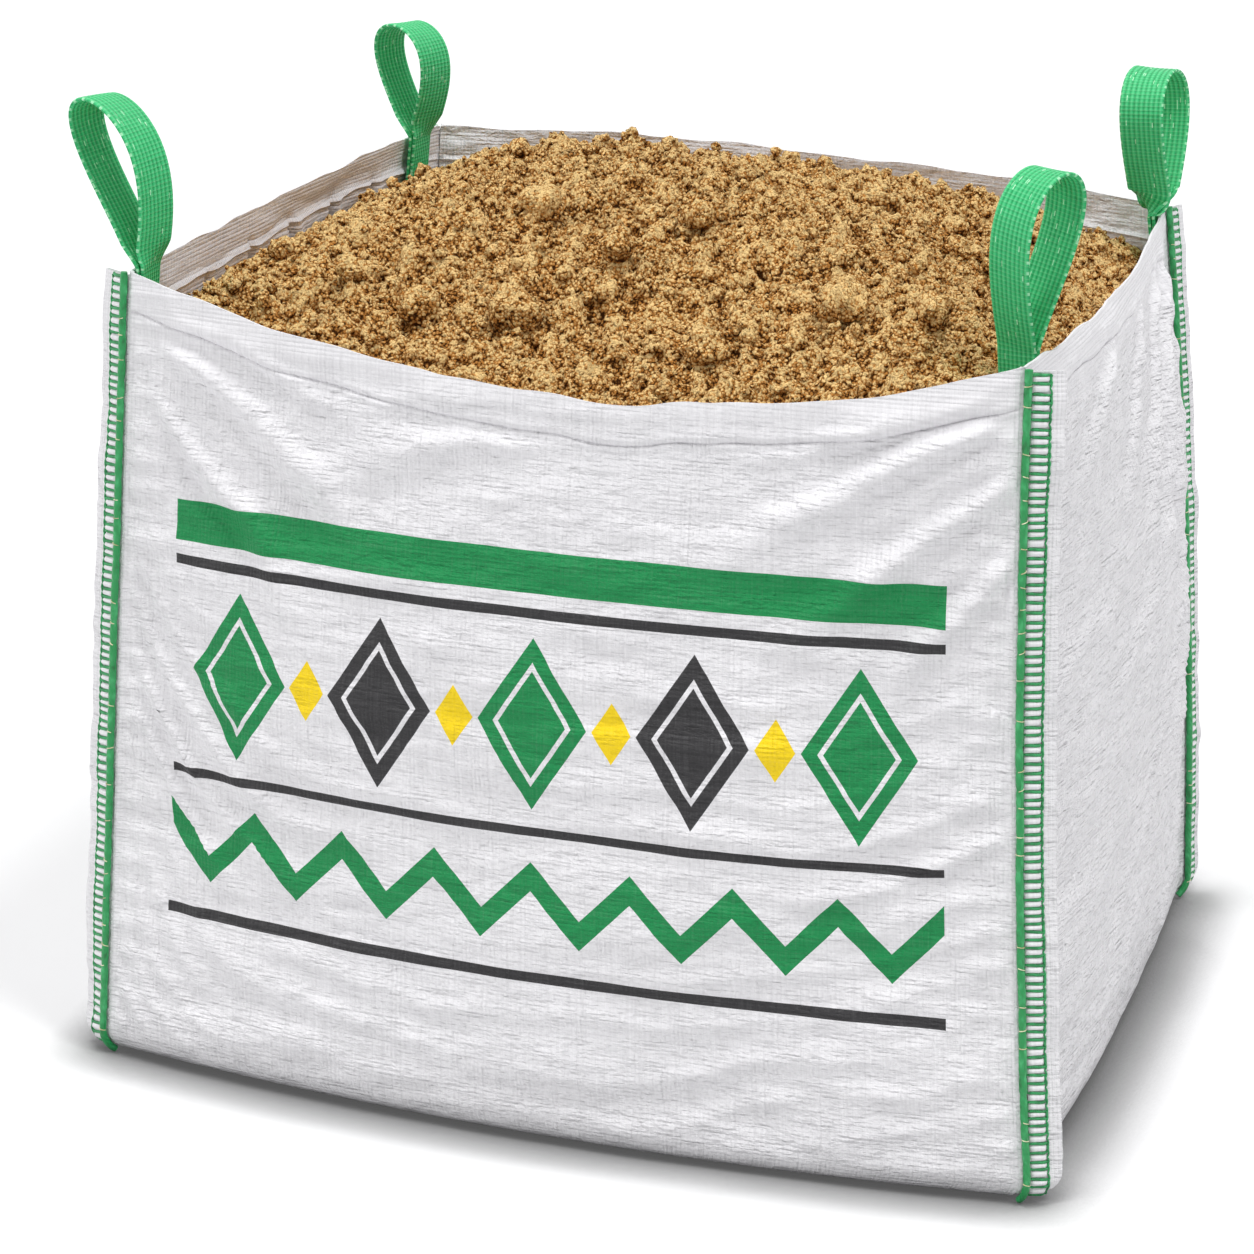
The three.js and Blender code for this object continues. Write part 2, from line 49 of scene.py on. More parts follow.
# how each corner is pulled out of square, and which face of its seam carries the stitching
corners = dict(
    frontLeft=dict(node="front_left", out=(-1, -1), rim=(-0.002, -0.002, 0.002), mid=(0, 0),
                   base=(0.014, 0.003), seam=150, face=1),
    frontRight=dict(node="front_right", out=(1, -1), rim=(0.002, -0.002, -0.008), mid=(-0.008, 0),
                    base=(0.010, -0.026), seam=30, face=1),
    backRight=dict(node="back_right", out=(1, 1), rim=(-0.032, -0.008, -0.008), mid=(0.010, 0),
                   base=(-0.004, 0.002), seam=75, face=-1),
    backLeft=dict(node="back_left", out=(-1, 1), rim=(-0.007, 0.003, 0.013), mid=(0, 0),
                  base=(0.006, 0), seam=105, face=-1),
)
rollRadius = bag["roll"] - bag["cloth"] / 2
layerShift = (bag["cloth"] + bag["sewnGap"]) / 2  # middle of a seam layer from the seam's middle
seamFace = bag["cloth"] + bag["sewnGap"] / 2      # a seam layer's outer face from there


def mix(a, b, share):
    return a * (1 - share) + b * share


def smooth(low, high, value):
    share = np.clip((value - low) / (high - low), 0, 1)
    return share * share * (3 - 2 * share)


def unit(vectors):
    return vectors / np.maximum(np.linalg.norm(vectors, axis=-1, keepdims=True), 1e-12)


# the length of a path up to each of its points
def runAlong(path):
    return np.concatenate([[0], np.cumsum(np.linalg.norm(np.diff(path, axis=0), axis=1))])


def paired(first, second):
    return np.stack(np.broadcast_arrays(first, second), -1)


# value noise from a seeded table, -1 to 1
def noise(x, y, seed):
    table = np.random.RandomState(seed).rand(256, 256)
    xFloor, yFloor = np.floor(x).astype(int), np.floor(y).astype(int)
    xShare, yShare = x - xFloor, y - yFloor
    xShare = xShare ** 3 * (xShare * (xShare * 6 - 15) + 10)
    yShare = yShare ** 3 * (yShare * (yShare * 6 - 15) + 10)
    pick = lambda i, j: table[(xFloor + i) & 255, (yFloor + j) & 255]
    low = mix(pick(0, 0), pick(1, 0), xShare)
    high = mix(pick(0, 1), pick(1, 1), xShare)
    return 2 * mix(low, high, yShare) - 1


def layeredNoise(x, y, seed, layers=3):
    total = 0
    for layer in range(layers):
        turn = 0.6 * layer
        turnedX = x * math.cos(turn) - y * math.sin(turn)
        turnedY = x * math.sin(turn) + y * math.cos(turn)
        total = total + noise(turnedX * 2 ** layer, turnedY * 2 ** layer, seed + layer) / 2 ** layer
    return total


# a field of rounded lumps, one for each cell of a jittered grid
def lumps(x, y, cell, radius, keep, seed):
    draw = np.random.RandomState(seed)
    jitterX, jitterY, size, chance = (draw.rand(256, 256) for _ in range(4))
    xCell, yCell = np.floor(x / cell).astype(int), np.floor(y / cell).astype(int)
    height = np.zeros_like(x)
    for i in (-1, 0, 1):
        for j in (-1, 0, 1):
            a, b = (xCell + i) & 255, (yCell + j) & 255
            reach = mix(radius[0], radius[1], size[a, b])
            awayX = x - (xCell + i + jitterX[a, b]) * cell
            awayY = y - (yCell + j + jitterY[a, b]) * cell
            dome = np.sqrt(np.maximum(reach ** 2 - awayX ** 2 - awayY ** 2, 0))
            height = np.maximum(height, np.where(chance[a, b] < keep, dome, 0))
    return height


def clearSelection():
    bpy.ops.object.select_all(action="DESELECT")


def pickOnly(piece):
    clearSelection()
    piece.select_set(True)
    bpy.context.view_layer.objects.active = piece


# fills a map from one pair of values per vertex
def setMap(mesh, layer, flat):
    order = np.empty(len(mesh.loops), np.int32)
    mesh.loops.foreach_get("vertex_index", order)
    placed = np.asarray(flat, np.float32).reshape(-1, 2)[order]
    layer.data.foreach_set("uv", placed.reshape(-1))


def vertexPlaces(mesh):
    co = np.empty(len(mesh.vertices) * 3, np.float32)
    mesh.vertices.foreach_get("co", co)
    return co.reshape(-1, 3)


# a grid primitive whose points are then put in place, with its map in metres
def gridPiece(name, points, flat):
    rows, columns = points.shape[:2]
    clearSelection()
    bpy.ops.mesh.primitive_grid_add(x_subdivisions=columns - 1, y_subdivisions=rows - 1, size=1)
    piece = bpy.context.object
    piece.name = piece.data.name = name
    piece.data.vertices.foreach_set("co", np.asarray(points, np.float32).reshape(-1))
    setMap(piece.data, piece.data.uv_layers[0], flat)
    piece.data.update()
    return piece


def tidyMesh(piece, merge=1e-6, outward=False):
    pickOnly(piece)
    bpy.ops.object.mode_set(mode="EDIT")
    bpy.ops.mesh.select_all(action="SELECT")
    bpy.ops.mesh.remove_doubles(threshold=merge)
    if outward:
        bpy.ops.mesh.normals_make_consistent(inside=False)
    bpy.ops.object.mode_set(mode="OBJECT")


def joinPieces(pieces, name):
    clearSelection()
    for piece in pieces:
        piece.select_set(True)
    bpy.context.view_layer.objects.active = pieces[0]
    bpy.ops.object.join()
    whole = bpy.context.object
    whole.name = whole.data.name = name
    return whole


def applyModifier(piece, kind, **settings):
    pickOnly(piece)
    modifier = piece.modifiers.new(kind.lower(), kind)
    for key, value in settings.items():
        setattr(modifier, key, value)
    bpy.ops.object.modifier_apply(modifier=modifier.name)


# shades a finished piece and ties it to the frame
def settle(piece, degrees, node=None):
    pickOnly(piece)
    bpy.ops.object.shade_smooth_by_angle(angle=math.radians(degrees))
    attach(piece, "root")
    if node:
        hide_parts(node)
    return piece


# points and map of a round or flattened thread along a path, its ends drawn to a point
def threadPoints(path, width, height, sides, up=None, swell=None):
    path = np.asarray(path, float)
    ahead = unit(np.gradient(path, axis=0))
    up = np.tile((0.0, 0.0, 1.0), (len(path), 1)) if up is None else np.asarray(up, float)
    across = unit(np.cross(up, ahead))
    over = np.cross(ahead, across)
    angles = np.arange(sides + 1) * 2 * math.pi / sides
    swell = np.ones(len(path)) if swell is None else swell
    ring = (across[:, None] * np.cos(angles)[None, :, None] * width / 2
            + over[:, None] * np.sin(angles)[None, :, None] * height / 2)
    points = path[:, None] + ring * np.asarray(swell)[:, None, None]
    points = np.concatenate([np.repeat(path[:1, None], sides + 1, 1), points,
                             np.repeat(path[-1:, None], sides + 1, 1)])
    run = runAlong(path)
    run = np.concatenate([run[:1], run, run[-1:]])
    flat = paired(angles[None, :] / (2 * math.pi), run[:, None])
    return points, flat


def threadPiece(name, path, width, height, sides, up, swell=None):
    piece = gridPiece(name, *threadPoints(path, width, height, sides, up, swell))
    tidyMesh(piece, outward=True)
    return piece


# many short threads: the first is modelled, the others are copies with their own mesh
def threadSet(name, paths, width, height, sides, ups):
    made = []
    for path, up in zip(paths, ups):
        points, flat = threadPoints(path, width, height, sides, up)
        if not made:
            made.append(gridPiece(name, points, flat))
            continue
        stitch = made[0].copy()
        stitch.data = made[0].data.copy()
        bpy.context.collection.objects.link(stitch)
        stitch.data.vertices.foreach_set("co", np.asarray(points, np.float32).reshape(-1))
        made.append(stitch)
    whole = joinPieces(made, name)
    tidyMesh(whole, outward=True)
    return whole


# where the cloth runs
def cornerAt(name, z, inset):
    corner = corners[name]
    rise = z / bag["rim"]
    spot = []
    for axis in (0, 1):
        half = mix(bag["baseSize"][axis], bag["rimSize"][axis], rise) / 2 - inset
        pull = mix(corner["base"][axis], corner["rim"][axis], rise)
        pull = pull + corner["mid"][axis] * 4 * rise * (1 - rise)
        spot.append(corner["out"][axis] * half + pull)
    return np.stack([spot[0], spot[1], z + 0 * spot[0]], -1)


def wallPoint(side, u, z, inset):
    u, z, inset = np.broadcast_arrays(np.asarray(u, float), np.asarray(z, float), np.asarray(inset, float))
    wall = walls[side]
    start, end = (cornerAt(name, z, inset) for name in wall["ends"])
    along = unit(end - start)
    rise = z / bag["rim"]
    low, middle, top = wall["bulge"]
    bulge = (low * (2 * rise - 1) * (rise - 1) + middle * 4 * rise * (1 - rise)
             + top * rise * (2 * rise - 1))
    outward = np.stack([along[..., 1], -along[..., 0], 0 * z], -1)
    return mix(start, end, ((u + 1) / 2)[..., None]) + outward * (bulge * (1 - u * u))[..., None]


def rimAt(side, u):
    wall = walls[side]
    first, last = (bag["rim"] + corners[name]["rim"][2] for name in wall["ends"])
    return mix(first, last, (u + 1) / 2) - wall["sag"] * (1 - u * u) * (1 + wall["lean"] * u)


def cornerRim(name):
    return bag["rim"] + corners[name]["rim"][2]


# the corner seams
seam = dict(width=0.043, top=0.004, foot=0.0085, endRound=0.024, cord=0.0075, cordPlace=0.0055,
            ladder=(0.0105, 0.0275), pitch=0.0082, wave=0.0013, waveLength=0.05,
            edgeWander=0.0009)


def seamAxes(name):
    turn = math.radians(corners[name]["seam"])
    along = np.array([math.cos(turn), math.sin(turn), 0])
    normal = np.array([-along[1], along[0], 0]) * corners[name]["out"][1] * np.sign(along[0])
    return along, normal


def seamRoot(name, z):
    z = np.asarray(z, float)
    below = np.clip(bag["roll"] - z, 0, rollRadius)
    return cornerAt(name, z, rollRadius - np.sqrt(rollRadius ** 2 - below ** 2))


# a point of a seam at height z, so far across its width and off its middle
def seamPoint(name, z, across, off):
    z, across, off = np.broadcast_arrays(np.asarray(z, float), np.asarray(across, float),
                                         np.asarray(off, float))
    along, normal = seamAxes(name)
    step = unit(np.cross(seamRoot(name, z + 0.002) - seamRoot(name, z), along))
    step = step * np.sign((step * normal).sum(-1, keepdims=True))
    sway = noise(z / seam["waveLength"], 0 * z, corners[name]["seam"])
    sway = sway + 0.5 * noise(2.7 * z / seam["waveLength"], 0 * z, 7 + corners[name]["seam"])
    off = off + seam["wave"] * sway * smooth(0.002, seam["width"], across) * 2
    return seamRoot(name, z) + along * across[..., None] + step * off[..., None]


# folds of the filled cloth, as distances outwards: puckers along the seams, drag lines that run down from
# the first and the last seam and level out, and creases near the rim (place, turn, length, width, height)
folds = dict(
    front=dict(pucker=0.0026, drag=(0.0058, 0.0056), drop=(0.26, 0.13), curve=(0.10, 0.20),
               reach=(0.17, 0.23), spacing=(0.058, 0.047), seed=3,
               fans=((0.90, 0.745, 200, 0.36, 0.017, 0.0050), (0.91, 0.700, 212, 0.34, 0.016, 0.0042),
                     (0.90, 0.770, 190, 0.30, 0.014, 0.0034), (0.93, 0.640, 222, 0.26, 0.014, 0.0036),
                     (0.03, 0.740, -24, 0.34, 0.018, 0.0044), (0.02, 0.690, -38, 0.32, 0.016, 0.0040),
                     (0.04, 0.770, -13, 0.30, 0.014, 0.0030), (0.45, 0.690, 186, 0.30, 0.024, 0.0026))),
    right=dict(pucker=0.0028, drag=(0.0034, 0.0088), drop=(0.05, 0.34), curve=(0.20, 0.42),
               reach=(0.14, 0.62), spacing=(0.050, 0.080), seed=23,
               fans=((0.80, 0.765, 232, 0.42, 0.022, 0.0078), (0.82, 0.735, 243, 0.40, 0.020, 0.0074),
                     (0.74, 0.760, 222, 0.40, 0.020, 0.0066), (0.83, 0.690, 250, 0.34, 0.020, 0.0060),
                     (0.62, 0.755, 214, 0.34, 0.018, 0.0056), (0.40, 0.750, 206, 0.26, 0.018, 0.0046))),
    back=dict(pucker=0.0028, drag=(0.0056, 0.0054), drop=(0.18, 0.22), curve=(0.14, 0.14),
              reach=(0.22, 0.20), spacing=(0.052, 0.056), seed=43,
              fans=((0.88, 0.75, 206, 0.36, 0.017, 0.0046), (0.03, 0.74, -26, 0.36, 0.017, 0.0046),
                    (0.06, 0.70, -40, 0.30, 0.016, 0.0038), (0.40, 0.72, 250, 0.22, 0.016, 0.0034))),
    left=dict(pucker=0.0028, drag=(0.0052, 0.0052), drop=(0.22, 0.20), curve=(0.22, 0.16),
              reach=(0.30, 0.22), spacing=(0.060, 0.052), seed=63,
              fans=((0.30, 0.790, 248, 0.26, 0.016, 0.0050), (0.42, 0.790, 250, 0.24, 0.016, 0.0048),
                    (0.55, 0.795, 246, 0.24, 0.015, 0.0046), (0.68, 0.795, 244, 0.22, 0.015, 0.0044),
                    (0.80, 0.790, 240, 0.24, 0.016, 0.0044), (0.18, 0.795, 256, 0.26, 0.016, 0.0046))),
)
# what all walls share: the gain of the folds, the soft swell and crumple between them, how close to a seam
# the cloth is held flat, and how deep a fold may go low down and near the top, where the sand lies close
foldLook = dict(puckerReach=0.032, puckerEvery=0.03, fanGain=1.5, gain=1.25, swell=0.0050, crumple=0.0015,
                ripple=0.0018, held=0.012, deepest=(0.03, 0.0034), closeFrom=0.52, closeTo=0.65,
                dragFade=0.7, fadeFrom=0.28, fadeTo=0.62)
# the course of a crease: how far it curls and wanders, how it widens and fades, and the dips beside it
creaseLook = dict(curl=0.18, wander=0.010, wanderLength=0.09, narrow=0.45, widen=0.9, fadeIn=0.12,
                  fadeFrom=0.45, dipUnder=0.55, dipOver=0.35)


def ridge(phase):
    return 1 - 2 * np.abs(np.sin(phase)) ** 0.8


# a crease that starts at a spot of the wall and widens as it runs out: a ridge with a dip on each side
def creaseAt(along, z, crease, seed):
    startAlong, startZ, turn, length, width, height = crease
    turn = math.radians(turn)
    onward = (along - startAlong) * math.cos(turn) + (z - startZ) * math.sin(turn)
    aside = (z - startZ) * math.cos(turn) - (along - startAlong) * math.sin(turn)
    share = onward / length
    look = creaseLook
    aside = aside + look["curl"] * length * share ** 2 * math.copysign(1, math.cos(turn))
    aside = aside + look["wander"] * noise(onward / look["wanderLength"], 0 * onward + turn, seed)
    spread = width * (look["narrow"] + look["widen"] * np.clip(share, 0, 1.2))
    fade = smooth(0.0, look["fadeIn"], share) * (1 - smooth(look["fadeFrom"], 1.0, share))
    shape = np.exp(-(aside / spread) ** 2)
    shape = shape - look["dipUnder"] * np.exp(-((aside + 1.7 * spread) / spread) ** 2)
    return height * fade * (shape - look["dipOver"] * np.exp(-((aside - 1.8 * spread) / spread) ** 2))


def foldAt(side, fromStart, fromEnd, z, underRim):
    f = folds[side]
    seed = f["seed"]
    total = 0
    for k, away in enumerate((fromStart, fromEnd)):
        drift = 0.6 * noise(z / 0.06, away / 0.2, seed + k)
        lines = ridge(math.pi * z / foldLook["puckerEvery"] + 2 * drift)
        total = total + f["pucker"] * np.exp(-away / foldLook["puckerReach"]) * lines
        sweep = z + f["drop"][k] * (1 - np.exp(-away / f["curve"][k]))
        wander = layeredNoise(fromStart / 0.25, z / 0.16, seed + 4 + k, 2)
        lines = ridge(math.pi * (sweep / f["spacing"][k] + 0.5 * wander))
        gate = 0.3 + 0.7 * smooth(-0.3, 0.5, noise(sweep / 0.09, away / 0.4, seed + 6 + k))
        fade = foldLook["dragFade"] * smooth(foldLook["fadeFrom"], foldLook["fadeTo"], z)
        low = smooth(-0.02, 0.06, z) * (1 - fade)
        near = 0.35 + 0.65 * smooth(0.0, 0.05, away)
        total = total + f["drag"][k] * np.exp(-away / f["reach"][k]) * near * lines * gate * low
    high = smooth(0.010, 0.06, underRim)
    for k, crease in enumerate(f["fans"]):
        total = total + foldLook["fanGain"] * creaseAt(fromStart, z, crease, seed + 30 + k) * high
    swell = layeredNoise(fromStart / 0.3, z / 0.24, seed + 12, 2)
    crumple = layeredNoise(fromStart / 0.07, z / 0.032, seed + 15, 3)
    ripple = layeredNoise(fromStart / 0.13, z / 0.026, seed + 18, 3)
    total = foldLook["gain"] * total + foldLook["swell"] * swell
    total = total + foldLook["crumple"] * crumple + foldLook["ripple"] * ripple
    held = (1 - np.exp(-fromStart / foldLook["held"])) * (1 - np.exp(-fromEnd / foldLook["held"]))
    deepest = mix(*foldLook["deepest"], smooth(foldLook["closeFrom"], foldLook["closeTo"], z))
    return np.maximum(total * held, -deepest)


# hemLayers is the thickness of a hem in cloths, and single is the share of it that a plain wall has
panel = dict(columns=150, frontRows=172, backRows=96, sideColumns=180, sideRows=172, hemRows=34,
             hemBand=0.066, rollRows=7, baseRows=14, baseLength=0.87, flangeColumns=8, hemProud=0.0026,
             hemGroove=0.0042, hemGrooveWidth=0.0026, rimWander=0.0030, hemLayers=1.6, single=0.55,
             crowd=1.12, flangeMap=0.6)
# a running stitch along the foot of each hem
hemStitch = dict(length=0.0085, gap=0.0035, width=0.0011, height=0.0008, above=0.004, ends=0.97,
                 arch=(-0.0012, 0.0006, 0.0009, 0.0006, -0.0012))


# a wall from its tuck on the floor up to its rim: points, map and the share of hem at each point
def wallGrid(side, face, columns, rows):
    u = np.linspace(-1, 1, columns)
    u = np.sign(u) * (1 - (1 - np.abs(u)) ** panel["crowd"])  # closer near the seams
    rim = rimAt(side, u)
    rim = rim + panel["rimWander"] * layeredNoise(u * 6, 0 * u, folds[side]["seed"], 2) * (1 - u ** 8)
    below = np.linspace(0, 1, rows - panel["hemRows"] + 1)[:, None]
    within = np.linspace(0, 1, panel["hemRows"])[1:, None]
    heights = np.concatenate([mix(bag["roll"], rim - panel["hemBand"], below),
                              rim - panel["hemBand"] * (1 - within)])
    upright = wallPoint(side, u[None], heights, 0)
    angles = np.linspace(math.pi / 2, 0, panel["rollRows"] + 1)[:-1, None]
    rollInset = rollRadius * (1 - np.cos(angles))
    rolled = wallPoint(side, u[None], bag["roll"] - rollRadius * np.sin(angles), rollInset)
    tuck = wallPoint(side, u[None], bag["cloth"] / 2, rollRadius + bag["tuck"])
    points = np.concatenate([tuck, rolled, upright])
    fromStart = runAlong(upright[rows // 2])
    fromEnd = fromStart[-1] - fromStart
    z = points[..., 2]
    underRim = rim[None] - z
    normal = unit(np.cross(np.gradient(points, axis=1), np.gradient(points, axis=0)))
    fold = foldAt(side, fromStart[None] + 0 * z, fromEnd[None] + 0 * z, z, underRim)
    fold = fold * smooth(0.002, 0.05, z) * (0.25 + 0.75 * smooth(0.0, 0.03, underRim))
    hemShare = 1 - smooth(bag["hem"] - 0.002, bag["hem"] + 0.002, underRim)
    groove = np.exp(-((underRim - bag["hem"] + hemStitch["above"]) / panel["hemGrooveWidth"]) ** 2)
    fold = fold + panel["hemProud"] * hemShare - panel["hemGroove"] * groove
    fold[:, (0, -1)] = 0
    points = points + normal * fold[..., None]
    for column, name in ((0, walls[side]["ends"][0]), (-1, walls[side]["ends"][1])):
        points[:, column] = points[:, column] + seamAxes(name)[1] * face * layerShift
    middle = fromStart[-1] / 2
    flat = np.stack([fromStart[None] - middle + 0 * z, z], -1)
    return points, flat, hemShare


# the turned-out edge of cloth beside a wall's first or last column
def flangeGrid(name, face, edge):
    rim = cornerRim(name)
    rows = np.flatnonzero((edge[:, 2] > seam["foot"]) & (edge[:, 2] < rim - 0.0005))
    root = edge[rows]
    z = np.minimum(root[:, 2], rim - seam["top"])
    rounding = np.clip(1 - (z - z.min()) / seam["endRound"], 0, 1)
    width = seam["width"] - seam["endRound"] * (1 - np.sqrt(1 - rounding ** 2))
    width = width + seam["edgeWander"] * noise(z / 0.012, 0 * z, 5 + corners[name]["seam"])
    share = np.linspace(0, 1, panel["flangeColumns"] + 1)
    points = seamPoint(name, z[:, None], width[:, None] * share[None], face * layerShift)
    points[:, 0] = root
    return points, paired(panel["flangeMap"] + width[:, None] * share[None], z[:, None])


def panelPiece(name, node, grid, flanges):
    points, flat, hemShare = grid
    made = [gridPiece(name, points, flat)]
    doubled = hemShare.reshape(-1) > 0.5
    layers = made[0].vertex_groups.new(name="layers")
    layers.add(np.flatnonzero(doubled).tolist(), 1.0, "REPLACE")
    layers.add(np.flatnonzero(~doubled).tolist(), panel["single"], "REPLACE")
    for points, flat in flanges:
        flange = gridPiece(name + "Flange", points, flat)
        everywhere = list(range(len(flange.data.vertices)))
        flange.vertex_groups.new(name="layers").add(everywhere, panel["single"], "REPLACE")
        made.append(flange)
    whole = joinPieces(made, name)
    tidyMesh(whole, 2e-6)
    applyModifier(whole, "SOLIDIFY", thickness=bag["cloth"] * panel["hemLayers"], offset=0.0,
                  vertex_group="layers", use_even_offset=False)
    return settle(whole, 60, node)


# the front, the base and the back are one length of cloth
def bodyPanel():
    front, frontFlat, frontHem = wallGrid("front", 1, panel["columns"], panel["frontRows"])
    back, backFlat, backHem = wallGrid("back", 1, panel["columns"], panel["backRows"])
    frontEdge, backEdge = front[0], back[0, ::-1]
    share = np.linspace(0, 1, panel["baseRows"])[:, None, None]
    across = np.linspace(-1, 1, panel["columns"])
    bow = wallPoint("left", np.linspace(-1, 1, panel["baseRows"]), bag["cloth"] / 2,
                    rollRadius + bag["tuck"])
    sideBow = bow[:, 0] - mix(bow[0, 0], bow[-1, 0], share[:, 0, 0])
    base = mix(backEdge[None], frontEdge[None], share)
    base[..., 0] += across[None] * np.abs(sideBow[:, None]) * 0.5
    baseFlat = paired(frontFlat[:1, :, 0], -panel["baseLength"] * (1 - share[..., 0]))
    backFlat = np.stack([-backFlat[..., 0], -panel["baseLength"] - backFlat[..., 1]], -1)[::-1, ::-1]
    points = np.concatenate([back[::-1, ::-1], base[1:-1], front])
    flat = np.concatenate([backFlat, baseFlat[1:-1], frontFlat])
    hemShare = np.concatenate([backHem[::-1, ::-1], np.zeros(base[1:-1].shape[:2]), frontHem])
    flanges = []
    for wall, ends in ((front, walls["front"]["ends"]), (back, walls["back"]["ends"])):
        flanges += seamEdges(wall, ends, 1)
    piece = panelPiece("bodyPanel", "body_panel", (points, flat, hemShare), flanges)
    return piece


def seamEdges(wall, ends, face):
    points, flat = flangeGrid(ends[0], face, wall[:, 0])
    return [(points[:, ::-1], flat[:, ::-1]), flangeGrid(ends[1], face, wall[:, -1])]


def sidePanel(side):
    grid = wallGrid(side, -1, panel["sideColumns"], panel["sideRows"])
    flanges = seamEdges(grid[0], walls[side]["ends"], -1)
    piece = panelPiece(side + "Panel", "side_panel_" + side, grid, flanges)
    return piece


bodyCloth = bodyPanel()
sideCloths = [sidePanel("left"), sidePanel("right")]
print("cloth panels made")


def hemLine(side, u):
    return rimAt(side, u) - bag["hem"] + hemStitch["above"]


# places on a folded wall, lifted off its middle, and the way outwards there
def surfaceAt(side, u, z, lift):
    rim = rimAt(side, u)
    around = wallPoint(side, np.linspace(-1, 1, 200), 0.6 * bag["rim"], 0)
    span = runAlong(around)
    fromStart = np.interp(u, np.linspace(-1, 1, 200), span)
    fold = foldAt(side, fromStart, span[-1] - fromStart, z, rim - z)
    fold = fold * (0.25 + 0.75 * smooth(0.0, 0.03, rim - z))
    here = wallPoint(side, u, z, 0)
    beside, over = wallPoint(side, u + 0.002, z, 0), wallPoint(side, u, z + 0.002, 0)
    outward = unit(np.cross(beside - here, over - here))
    return here + outward * (fold + lift)[..., None], outward


def hemThread():
    paths, ups = [], []
    step = hemStitch["length"] + hemStitch["gap"]
    for side in walls:
        u = np.linspace(-hemStitch["ends"], hemStitch["ends"], 1200)
        run = runAlong(wallPoint(side, u, hemLine(side, u), 0))
        for k in range(int(run[-1] / step)):
            at = np.interp(k * step + np.linspace(0, hemStitch["length"], 5), run, u)
            path, outward = surfaceAt(side, at, hemLine(side, at), np.array(hemStitch["arch"]))
            paths.append(path)
            ups.append(outward)
    whole = threadSet("hemThread", paths, hemStitch["width"], hemStitch["height"], 5, ups)
    return settle(whole, 80)


# seam cords with their tacks
cordLook = dict(sides=14, step=0.0022, pinchEvery=0.021, pinch=0.16, pinchReach=0.0028, wobble=0.0007)


def seamCord(name):
    face = corners[name]["face"]
    z = np.arange(seam["foot"] - 0.001, cornerRim(name) - seam["top"] + 0.004, cordLook["step"])
    draw = np.random.RandomState(corners[name]["seam"])
    pinches = np.cumsum(cordLook["pinchEvery"] * draw.uniform(0.7, 1.3, 60))
    pinches = pinches[pinches < z[-1]]
    squeeze = np.exp(-((z[:, None] - pinches[None]) / cordLook["pinchReach"]) ** 2).max(1)
    across = seam["cordPlace"] + cordLook["wobble"] * noise(z / 0.04, 0 * z, 3 + corners[name]["seam"])
    off = face * (seamFace + bag["sewnGap"] + seam["cord"] / 2)
    path = seamPoint(name, z, across, off)
    swell = 1 - cordLook["pinch"] * squeeze
    swell = swell * (1 + 0.04 * noise(z / 0.012, 0 * z, 4 + corners[name]["seam"]))
    node = corners[name]["node"]
    up = np.tile(seamAxes(name)[0], (len(z), 1))
    piece = threadPiece("seamCord." + node, path, seam["cord"], seam["cord"], cordLook["sides"], up, swell)
    return settle(piece, 80, "seam_cord_" + node), pinches


tackLook = dict(width=0.0016, height=0.0010, share=0.7)


def seamTacks(name, pinches):
    face = corners[name]["face"]
    draw = np.random.RandomState(200 + corners[name]["seam"])
    paths = []
    for z in pinches[draw.rand(len(pinches)) < tackLook["share"]]:
        if z < seam["foot"] + 0.004 or z > cornerRim(name) - 0.012:
            continue
        angle = np.radians(np.linspace(-35, draw.uniform(120, 200), 9))
        radius = seam["cord"] / 2 * (1 - cordLook["pinch"]) + 0.0003
        slope = draw.uniform(-0.002, 0.002)
        across = seam["cordPlace"] + radius * np.cos(angle)
        off = face * (seamFace + bag["sewnGap"] + seam["cord"] / 2 + radius * np.sin(angle))
        paths.append(seamPoint(name, z + slope * np.linspace(-1, 1, 9), across, off))
    whole = threadSet("seamTacks." + corners[name]["node"], paths, tackLook["width"], tackLook["height"], 5,
                      [None] * len(paths))
    return settle(whole, 80)


# the overlocked edge: white cloth puffed up between rungs of green thread
ladderLook = dict(puff=0.0034, pad=0.72, padCloth=0.0005, scallop=0.0012, threadWide=0.0033,
                  threadHigh=0.0024, threadLift=0.0015, edgeWide=0.0019, edgeHigh=0.0018, edgeLoop=0.0016,
                  rowsEach=8, columns=8)


def ladderHeights(name):
    top = cornerRim(name) - seam["top"] - 0.003
    count = int((top - seam["foot"] - 0.002) / seam["pitch"])
    draw = np.random.RandomState(300 + corners[name]["seam"])
    steps = draw.uniform(0.82, 1.18, count)
    steps = steps / steps.sum() * (top - seam["foot"] - 0.002)
    return seam["foot"] + 0.002 + np.concatenate([[0], np.cumsum(steps)])


